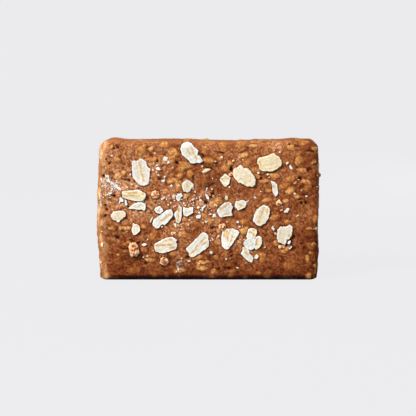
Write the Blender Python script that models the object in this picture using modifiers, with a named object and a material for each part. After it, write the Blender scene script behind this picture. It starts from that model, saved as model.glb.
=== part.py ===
"""Oat bar: a thick oblong of brown oat dough that stands on one long edge.

Rolled oats are bedded in the dough on every side that shows. Pale oat flakes and lumps of baked
crumb are pressed onto the front, which faces -Y. Everything is laid out on a true block with rounded
edges, and then settled together as soft dough settles, so that each piece follows the dough.
Metres, +Z up, +X along the bar, origin at the middle of the flat underside.
"""

import math
import random

import bmesh
import bpy
from mathutils import Matrix, Vector, noise

MM = 0.001

# The slab of dough.
LENGTH = 98.6 * MM
THICKNESS = 19 * MM
HEIGHT = 63.6 * MM
EDGE_RADIUS = 3.6 * MM
EDGE_STEPS = 3
# The lowest edge is tighter: its round is pressed up to this height by the bar's own weight.
BASE_EDGE = 1.5 * MM
PRESSED = EDGE_RADIUS - BASE_EDGE
# The true block starts that much below the base.
BLOCK_HEIGHT = HEIGHT + PRESSED
MIDDLE = (HEIGHT - PRESSED) / 2
GRID_STEP = 3.4 * MM
DOUGH_COLOUR = (0.32, 0.13, 0.05, 1)
DOUGH_ROUGHNESS = 0.6

# How the soft slab departs from a true block.
END_BULGE = 0.7 * MM
FACE_BULGE = 0.45 * MM
WAVE_HEIGHT = 0.3 * MM
WAVE_ALONG = 34 * MM
WAVE_UP = 27 * MM
WAVE_STARTS = 7 * MM
GRAIN_HEIGHT = 0.22 * MM
GRAIN_SIZE = 4.5 * MM
# Humps and hollows along the top edge: place along the bar, rise and spread.
TOP_HUMPS = (
    (-43 * MM, 0.8 * MM, 3.5 * MM),
    (-18 * MM, 0.35 * MM, 9 * MM),
    (9 * MM, -0.45 * MM, 10 * MM),
    (38.5 * MM, 0.6 * MM, 5 * MM),
)
# Where the two ends are pressed in, or stand out: the end, the height, depth inward and spread.
END_DENTS = (
    (-1, HEIGHT, 0.4 * MM, 3.5 * MM),
    (-1, 25 * MM, -0.8 * MM, 13 * MM),
    (1, 38 * MM, -0.3 * MM, 10 * MM),
    (1, 9 * MM, -0.6 * MM, 9 * MM),
)
# A lump of fruit under the front lifts it: place, height above the base, rise and spread.
HUMP = (-0.5 * MM, 46.1 * MM, 0.8 * MM, 4.5 * MM)

# Pale flakes on the front, in millimetres and degrees: place along the bar, height above the
# surface it stands on, length, width, and the turn of the long side from level.
FLAKES = (
    (-8.1, 58.1, 12.8, 7.3, -52),
    (-30.2, 49.3, 12.6, 8.7, 101),
    (27.3, 53.9, 11.4, 7.2, 10),
    (16.2, 48.1, 12.4, 7.3, -42),
    (7.4, 46, 6.2, 4.9, 80),
    (-9.9, 43.2, 5.4, 4.2, -80),
    (-33.5, 38.9, 11.4, 5.6, -5),
    (-31.8, 34.3, 7.8, 4, 12),
    (-40.6, 29.8, 7.1, 4.6, 3),
    (-32.9, 23.7, 5.6, 3.8, 95),
    (-20.6, 28.3, 12.2, 4.6, 42),
    (-22.6, 32.8, 4.2, 4, 60),
    (-13.6, 30.7, 8.8, 3, 85),
    (-9.2, 32.1, 4.6, 4.5, 20),
    (7.3, 32.4, 8.2, 6, 42),
    (14.3, 34.8, 5.6, 4.4, 25),
    (23.9, 30.1, 10, 6.4, 70),
    (29.8, 42.4, 8.2, 2.6, -72),
    (-19.4, 16.4, 10.6, 6.4, 10),
    (-4.4, 16.6, 13.2, 6.6, 50),
    (9.5, 19.3, 9.8, 7, 70),
    (19.4, 21.5, 5.4, 5, 76),
    (18.4, 16.4, 5.6, 4.8, 35),
    (22.7, 17.4, 6.2, 3.2, 80),
    (17.6, 12, 8.6, 3.4, -55),
    (34.4, 21.3, 8.6, 7, 75),
)
FLAKE_RISE = 0.75 * MM
FLAKE_SINK = 0.9 * MM
FLAKE_SIDES = 14
CHIP_SIDES = 7
CHIP_LENGTH = 4 * MM
FLAKE_RIM = 0.16
FLAKE_TAPER = 0.93
FLAKE_CREASE = 0.18 * MM
# How uneven a flake's rim is: the number of waves round it, and their share of its radius.
FLAKE_WAVES = ((2, 0.07), (3, 0.06), (5, 0.05))

# Chips of broken flake on the front, listed in the same way.
CHIPS = (
    (-13, 38.4, 3.2, 3, 30),
    (-1, 50.2, 3.2, 1.3, 28),
    (-0.7, 38.4, 3.6, 1.4, -52),
    (-2.2, 33.3, 3.4, 1.3, 60),
    (-4.6, 29.5, 2.6, 2.2, 20),
    (-22.5, 50.9, 2.6, 1.3, -35),
    (-19.4, 55.4, 2.4, 2, 0),
    (35.4, 32.0, 2.8, 2.2, 20),
    (28.9, 24.6, 3, 1.5, -65),
    (-14.7, 25.3, 2.6, 1.2, -65),
    (17.5, 36.2, 2.4, 1.2, 30),
    (-7.2, 43.2, 2.4, 1.4, 80),
)

# Lumps of baked crumb on the front: place, height, length, width, turn.
CRUMBS = (
    (-33.7, 14.4, 6.2, 4.6, 95),
    (-20, 9.0, 3.5, 3.2, 20),
    (-23.8, 39.3, 3.6, 2.8, 50),
    (6.4, 24.5, 3.2, 2.9, 10),
    (31.8, 35.4, 2.8, 2.6, 40),
    (-15.6, 21.6, 2.4, 2.2, 0),
)
CRUMB_RISE = 1.3 * MM

# Rolled oats bedded in the front where they show best: place, height, length, width, turn.
BEDDED_IN_FRONT = (
    (-40.4, 47.8, 5.6, 3, 18),
    (-41.1, 54.9, 4.6, 3, 10),
    (-30.7, 59.3, 4.4, 4, 60),
    (-19.4, 61.9, 5.4, 3, 10),
    (-10.4, 52.8, 5.6, 3.4, -8),
    (-15.7, 45.8, 5.2, 2.6, -4),
    (8.1, 51.4, 4.2, 3.6, 120),
    (15.2, 56.7, 5.2, 3.2, 15),
    (29.5, 47.9, 5.4, 3.3, -14),
    (36.5, 46.3, 5.2, 3.5, -6),
    (34.2, 43.1, 5, 3, 8),
    (42.5, 50.2, 5.6, 3.2, -10),
    (43.4, 45.1, 5.8, 3.4, -12),
    (41.1, 54.4, 4.4, 3.8, 70),
    (39.5, 38.6, 4.4, 2.6, 10),
    (3, 35.2, 4.8, 2.7, 20),
    (1.2, 27.1, 4.2, 2.7, -30),
    (30, 28.8, 4.4, 3, 5),
    (-11.5, 21.1, 4.4, 2.9, 80),
    (-4.8, 10.7, 5, 2.7, 24),
    (-2.8, 5.6, 5.6, 2.7, 4),
    (-12.2, 4.7, 4.4, 2.4, 6),
    (-26.5, 9.3, 5.2, 2.4, -6),
    (34.8, 13.7, 3.6, 3, 80),
    (-38.2, 19.0, 4.4, 3.2, 30),
)
# Elsewhere they follow a rule: one in each cell of a grid, moved and turned at random.
BEDDED_CELL = 13.5 * MM
BEDDED_SCATTER = 0.22
BEDDED_LENGTH = (3.8 * MM, 6.2 * MM)
BEDDED_SHAPE = (0.5, 0.72)
BEDDED_RISE = 0.45 * MM
BEDDED_THICKNESS = 2.0 * MM
BEDDED_SIDES = 8
BEDDED_RINGS = 4
SEED = 7


class Face:
    """One side of the block: a middle, two directions across it, its outward way and its size."""

    def __init__(self, middle, along, up, width, height):
        self.middle = Vector(middle)
        self.along = Vector(along)
        self.up = Vector(up)
        self.out = self.along.cross(self.up)
        self.width = width
        self.height = height

    def at(self, u, v, h):
        """The point that lies u along, v up and h out from the face's rounded surface."""
        fall = edge_fall(u, self.width) + edge_fall(v, self.height)
        return self.middle + self.along * u + self.up * v + self.out * (h - fall)


FRONT = Face((0, -THICKNESS / 2, MIDDLE), (1, 0, 0), (0, 0, 1), LENGTH, BLOCK_HEIGHT)
BACK = Face((0, THICKNESS / 2, MIDDLE), (-1, 0, 0), (0, 0, 1), LENGTH, BLOCK_HEIGHT)
LEFT = Face((-LENGTH / 2, 0, MIDDLE), (0, -1, 0), (0, 0, 1), THICKNESS, BLOCK_HEIGHT)
RIGHT = Face((LENGTH / 2, 0, MIDDLE), (0, 1, 0), (0, 0, 1), THICKNESS, BLOCK_HEIGHT)
TOP = Face((0, 0, HEIGHT), (1, 0, 0), (0, 1, 0), LENGTH, THICKNESS)


def edge_fall(distance, size):
    """How far the rounded edge has dropped below the flat face at this distance from its middle."""
    past = min(abs(distance) - (size / 2 - EDGE_RADIUS), EDGE_RADIUS)
    if past <= 0:
        return 0.0
    return EDGE_RADIUS - math.sqrt(EDGE_RADIUS**2 - past**2)


def bell(distance, spread):
    """A smooth share that is 1 at no distance and fades out past the spread."""
    return math.exp(-((distance / spread) ** 2))


def settle(point):
    """Where a point of the true block goes in the soft slab. The underside stays flat."""
    x, y, z = point
    if z < BASE_EDGE:
        z = (z + PRESSED) * BASE_EDGE / EDGE_RADIUS
    level = 2 * z / HEIGHT - 1
    swell = 1 - level * level
    along = 2 * x / LENGTH
    rise = sum(high * bell(x - at, wide) for at, high, wide in TOP_HUMPS)
    wave = WAVE_HEIGHT * math.sin(math.tau * x / WAVE_ALONG) * math.cos(math.tau * z / WAVE_UP)
    inward = drop = 0
    for end, at, deep, wide in END_DENTS:
        dent = deep * bell(math.hypot(x - end * LENGTH / 2, z - at), wide)
        inward -= end * dent
        drop += dent
    hump = HUMP[2] * bell(math.hypot(x - HUMP[0], z - HUMP[1]), HUMP[3]) * (0.5 - y / THICKNESS)
    plump = 1 + 2 * FACE_BULGE * swell * (1 - along**4) / THICKNESS
    return Vector(
        (
            x * (1 + 2 * END_BULGE * swell / LENGTH) + inward,
            y * plump + wave * min(1, z / WAVE_STARTS) - hump,
            z * (1 + (rise - drop) / HEIGHT),
        )
    )


def unsettled(x, z):
    """Where a place on the settled front lies on the true block."""
    u, v = x, z
    for _ in range(4):
        seen = settle((u, -THICKNESS / 2, v))
        u += x - seen.x
        v += z - seen.z
    return u, v


def settle_mesh(mesh):
    """Settles every vertex of the mesh."""
    for vertex in mesh.vertices:
        vertex.co = settle(vertex.co)


def link(mesh, name, collection):
    """A new object of this mesh in this collection."""
    made = bpy.data.objects.new(name, mesh)
    collection.objects.link(made)
    return made


def apply_modifiers(obj):
    """Gives the object the mesh that its modifiers make, and drops them."""
    graph = bpy.context.evaluated_depsgraph_get()
    mesh = bpy.data.meshes.new_from_object(obj.evaluated_get(graph))
    obj.modifiers.clear()
    obj.data = mesh


def cut_places(size):
    """Evenly spaced places for cuts across this size, clear of its rounded edges."""
    reach = size / 2 - EDGE_RADIUS - 0.3 * GRID_STEP
    count = max(1, round(2 * reach / GRID_STEP))
    return [reach * (2 * i / count - 1) for i in range(count + 1)]


def cut_into_grid(mesh, middle):
    """Cuts the block's faces into a grid, so that they can bend."""
    bm = bmesh.new()
    bm.from_mesh(mesh)
    for axis, size in enumerate((LENGTH, THICKNESS, BLOCK_HEIGHT)):
        normal = Vector((0, 0, 0))
        normal[axis] = 1
        for place in cut_places(size):
            everything = bm.verts[:] + bm.edges[:] + bm.faces[:]
            bmesh.ops.bisect_plane(bm, geom=everything, plane_co=middle + normal * place, plane_no=normal)
    bm.to_mesh(mesh)
    bm.free()


def roughen(mesh):
    """Moves the dough's surface in and out a little, and joins the underside into one flat face."""
    bm = bmesh.new()
    bm.from_mesh(mesh)
    bm.normal_update()
    underside = [face for face in bm.faces if face.normal.z < -0.999]
    resting = {vertex for face in underside for vertex in face.verts}
    for vertex in bm.verts:
        if vertex not in resting:
            vertex.co += vertex.normal * GRAIN_HEIGHT * noise.noise(vertex.co / GRAIN_SIZE)
    bmesh.ops.dissolve_faces(bm, faces=underside, use_verts=True)
    bm.to_mesh(mesh)
    bm.free()


def add_dough(collection):
    """The slab of dough, its edges rounded."""
    bpy.ops.mesh.primitive_cube_add(size=1)
    dough = bpy.context.object
    dough.name = "oat_bar"
    for other in dough.users_collection:
        other.objects.unlink(dough)
    collection.objects.link(dough)
    middle = Vector((0, 0, MIDDLE))
    dough.data.transform(Matrix.LocRotScale(middle, None, (LENGTH, THICKNESS, BLOCK_HEIGHT)))
    cut_into_grid(dough.data, middle)
    bevel = dough.modifiers.new("rounded_edges", "BEVEL")
    bevel.width = EDGE_RADIUS
    bevel.segments = EDGE_STEPS
    bevel.limit_method = "ANGLE"
    apply_modifiers(dough)
    roughen(dough.data)
    settle_mesh(dough.data)
    return dough


def uneven(angle, phases):
    """The share of its plain radius that an uneven rim has at this angle."""
    waves = zip(FLAKE_WAVES, phases)
    return 1 + sum(size * math.sin(count * angle + phase) for (count, size), phase in waves)


def lay_on(face, bm, place, turn):
    """Turns a small shape about its own middle and lays it on a face, then settles it."""
    u, v = place
    for vertex in bm.verts:
        flat = Matrix.Rotation(turn, 2) @ Vector(vertex.co.xy)
        vertex.co = settle(face.at(u + flat.x, v + flat.y, vertex.co.z))


def finish_shape(bm, name, collection):
    """Turns a bmesh into an object whose faces point out."""
    bmesh.ops.recalc_face_normals(bm, faces=bm.faces)
    mesh = bpy.data.meshes.new(name)
    bm.to_mesh(mesh)
    bm.free()
    return link(mesh, name, collection)


def add_flake(collection, number, place, length, width, turn):
    """A pale rolled oat: an uneven oval with a thin rim, sunk into the dough under it."""
    draw = random.Random(SEED + number)
    phases = [draw.uniform(0, math.tau) for _ in FLAKE_WAVES]
    bm = bmesh.new()
    sides = FLAKE_SIDES if length > CHIP_LENGTH else CHIP_SIDES
    bmesh.ops.create_cone(bm, segments=sides, radius1=1, radius2=FLAKE_TAPER, depth=2, cap_ends=True)
    lid = max(bm.faces, key=lambda face: face.calc_center_median().z)
    bmesh.ops.inset_individual(bm, faces=[lid], thickness=FLAKE_RIM)
    middle = bmesh.ops.poke(bm, faces=[lid])["verts"][0]
    for vertex in bm.verts:
        x, y, z = vertex.co
        reach = math.hypot(x, y)
        share = uneven(math.atan2(y, x), phases)
        dome = FLAKE_CREASE * (1 - reach)
        height = FLAKE_RISE + dome if z > 0 else -FLAKE_SINK
        vertex.co = Vector((x * share * length / 2, y * share * width / 2, height))
    middle.co.z = FLAKE_RISE - FLAKE_CREASE
    lay_on(FRONT, bm, place, turn)
    return finish_shape(bm, f"flake_{number}", collection)


def add_lump(collection, name, face, place, length, width, turn, rise, thickness):
    """A rounded lump that shows above the dough by its rise, such as a bedded oat."""
    bm = bmesh.new()
    bmesh.ops.create_uvsphere(bm, u_segments=BEDDED_SIDES, v_segments=BEDDED_RINGS, radius=1)
    for vertex in bm.verts:
        x, y, z = vertex.co
        vertex.co = Vector((x * length / 2, y * width / 2, rise - thickness / 2 * (1 - z)))
    lay_on(face, bm, place, turn)
    return finish_shape(bm, name, collection)


def on_front(row):
    """Reads a row of the lists above: its place on the front, length, width and turn."""
    x, z, length, width, turn = row
    u, v = unsettled(x * MM, z * MM)
    return (u, v - MIDDLE), length * MM, width * MM, math.radians(turn)


def bedded_by_rule(face, draw):
    """Rolled oats on a face that has no list: place, length, width and turn of each."""
    columns = max(1, round(face.width / BEDDED_CELL))
    rows = max(1, round(face.height / BEDDED_CELL))
    wide, high = face.width / columns, face.height / rows
    for column in range(columns):
        for row in range(rows):
            u = (column + 0.5 + draw.uniform(-1, 1) * BEDDED_SCATTER) * wide - face.width / 2
            v = (row + 0.5 + draw.uniform(-1, 1) * BEDDED_SCATTER) * high - face.height / 2
            length = draw.uniform(*BEDDED_LENGTH)
            width = length * draw.uniform(*BEDDED_SHAPE)
            yield (u, v), length, width, draw.uniform(0, math.pi)


def add_toppings(collection):
    """Everything that is fused to the dough."""
    for number, row in enumerate(FLAKES + CHIPS):
        add_flake(collection, number, *on_front(row))
    for number, row in enumerate(CRUMBS):
        add_lump(collection, f"crumb_{number}", FRONT, *on_front(row), CRUMB_RISE, 2 * CRUMB_RISE)
    draw = random.Random(SEED)
    bedded = {FRONT: [on_front(row) for row in BEDDED_IN_FRONT]}
    for face in (BACK, LEFT, RIGHT, TOP):
        bedded[face] = bedded_by_rule(face, draw)
    for face, oats in bedded.items():
        for oat in oats:
            add_lump(collection, "bedded_oat", face, *oat, BEDDED_RISE, BEDDED_THICKNESS)


def fuse(dough, toppings):
    """Joins the toppings to the dough in one solid, and removes them."""
    union = dough.modifiers.new("fused", "BOOLEAN")
    union.operation = "UNION"
    union.operand_type = "COLLECTION"
    union.collection = toppings
    union.solver = "EXACT"
    apply_modifiers(dough)
    for piece in list(toppings.objects):
        bpy.data.objects.remove(piece)
    bpy.data.collections.remove(toppings)


def dough_material():
    """Baked brown dough, nearly matt."""
    material = bpy.data.materials.new("dough")
    material.use_nodes = True
    shader = material.node_tree.nodes["Principled BSDF"]
    shader.inputs["Base Color"].default_value = DOUGH_COLOUR
    shader.inputs["Roughness"].default_value = DOUGH_ROUGHNESS
    shader.inputs["Metallic"].default_value = 0
    return material


def main():
    for old in list(bpy.data.objects):
        bpy.data.objects.remove(old)
    bar = bpy.data.collections.new("oat_bar")
    toppings = bpy.data.collections.new("toppings")
    bpy.context.scene.collection.children.link(bar)
    bpy.context.scene.collection.children.link(toppings)
    dough = add_dough(bar)
    add_toppings(toppings)
    fuse(dough, toppings)
    dough.data.materials.append(dough_material())


main()
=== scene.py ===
"""Looks of the oat bar: its dough with bedded oats, and the flakes, chips and crumbs on its front.

The dough is the CAD's block with the same settling, in a finer mesh with its relief and colours
worked out point by point. Metres, +Z up, +X along the bar, front facing -Y.
"""

import itertools
import math
import random
from dataclasses import dataclass

import bpy
import numpy as np
from mathutils import Matrix, Vector


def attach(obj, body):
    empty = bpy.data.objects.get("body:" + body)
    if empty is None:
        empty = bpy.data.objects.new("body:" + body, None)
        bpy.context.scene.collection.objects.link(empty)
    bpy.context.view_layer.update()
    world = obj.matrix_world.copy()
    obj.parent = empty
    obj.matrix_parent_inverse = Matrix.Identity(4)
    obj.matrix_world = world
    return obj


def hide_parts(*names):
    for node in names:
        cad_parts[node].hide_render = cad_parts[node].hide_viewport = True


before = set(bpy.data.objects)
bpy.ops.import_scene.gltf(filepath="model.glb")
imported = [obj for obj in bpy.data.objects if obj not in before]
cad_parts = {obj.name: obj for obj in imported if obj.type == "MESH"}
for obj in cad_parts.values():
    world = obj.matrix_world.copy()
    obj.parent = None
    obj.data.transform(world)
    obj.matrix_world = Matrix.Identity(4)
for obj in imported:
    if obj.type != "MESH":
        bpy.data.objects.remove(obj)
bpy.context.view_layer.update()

MM = 0.001

# The block and how it settles, as in the CAD.
LENGTH = 98.6
THICKNESS = 19
HEIGHT = 63.6
EDGE_RADIUS = 3.6
BASE_EDGE = 1.5
END_BULGE = 0.7
FACE_BULGE = 0.45
WAVE_HEIGHT = 0.3
WAVE_ALONG = 34
WAVE_UP = 27
WAVE_STARTS = 7
TOP_HUMPS = ((-43, 0.8, 3.5), (-18, 0.35, 9), (9, -0.45, 10), (38.5, 0.6, 5))
END_DENTS = ((-1, HEIGHT, 0.4, 3.5), (-1, 25, -0.8, 13), (1, 38, -0.3, 10), (1, 9, -0.6, 9))
HUMP = (-0.5, 46.1, 0.8, 4.5)
SEED = 7
# The true block starts below the base: its lowest edge is pressed up and so made tighter.
PRESSED = EDGE_RADIUS - BASE_EDGE
BLOCK_HEIGHT = HEIGHT + PRESSED
MIDDLE = (HEIGHT - PRESSED) / 2

# How often a place seen on the front is corrected to find where it lies on the true block.
UNSETTLE_STEPS = 4

# The dough's mesh: cells along, through and up it. Cells are twice as large but on the front.
CELLS = (300, 60, 190)


def colour(red, green, blue):
    """A colour given as on a screen, from 0 to 255, in linear light."""
    screen = np.array((red, green, blue)) / 255
    return np.where(screen <= 0.04045, screen / 12.92, ((screen + 0.055) / 1.055) ** 2.4)


DOUGH = colour(157, 93, 52)
DOUGH_PALE = colour(184, 124, 80)
DOUGH_DEEP = colour(96, 42, 18)
# Near black: painted shade in holes, crevices and pores.
HOLLOW_SHADE = colour(44, 12, 3)
GOLD = colour(204, 130, 58)
GOLD_PALE = colour(232, 180, 114)
CRUST = colour(226, 184, 138)
FRUIT = colour(100, 56, 36)
# A pale tone painted on bare fruit as its highlight.
PAINTED_HIGHLIGHT = colour(206, 184, 162)
WHITE = colour(220, 221, 217)
CREAM = colour(222, 205, 166)
TAN = colour(208, 162, 86)
FLOUR = colour(243, 242, 240)
SPICE = colour(244, 178, 124)
SPICE_PALE = colour(250, 212, 170)
# Dark red-brown: painted shade in a crumb's pores and hollows.
SPICE_SHADE = colour(134, 52, 26)
# How much more strongly the dough's light and dark parts differ in green and in blue than in red.
TONE = np.array((1, 1.65, 2.4))
DOUGH_ROUGHNESS = 0.55
FLAKE_ROUGHNESS = 0.75
CRUMB_ROUGHNESS = 0.8
FLOUR_ROUGHNESS = 0.85
SPECULAR = 0.1


@dataclass
class Flake:
    """A pale rolled oat on the front, given in places as seen there: x and height."""

    turn: float  # of its streaks, from level
    white: float  # from 0, cream, to 1
    rim: tuple  # its corners in turn
    creases: tuple = ()  # tan lines on it, each from one place to another


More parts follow.
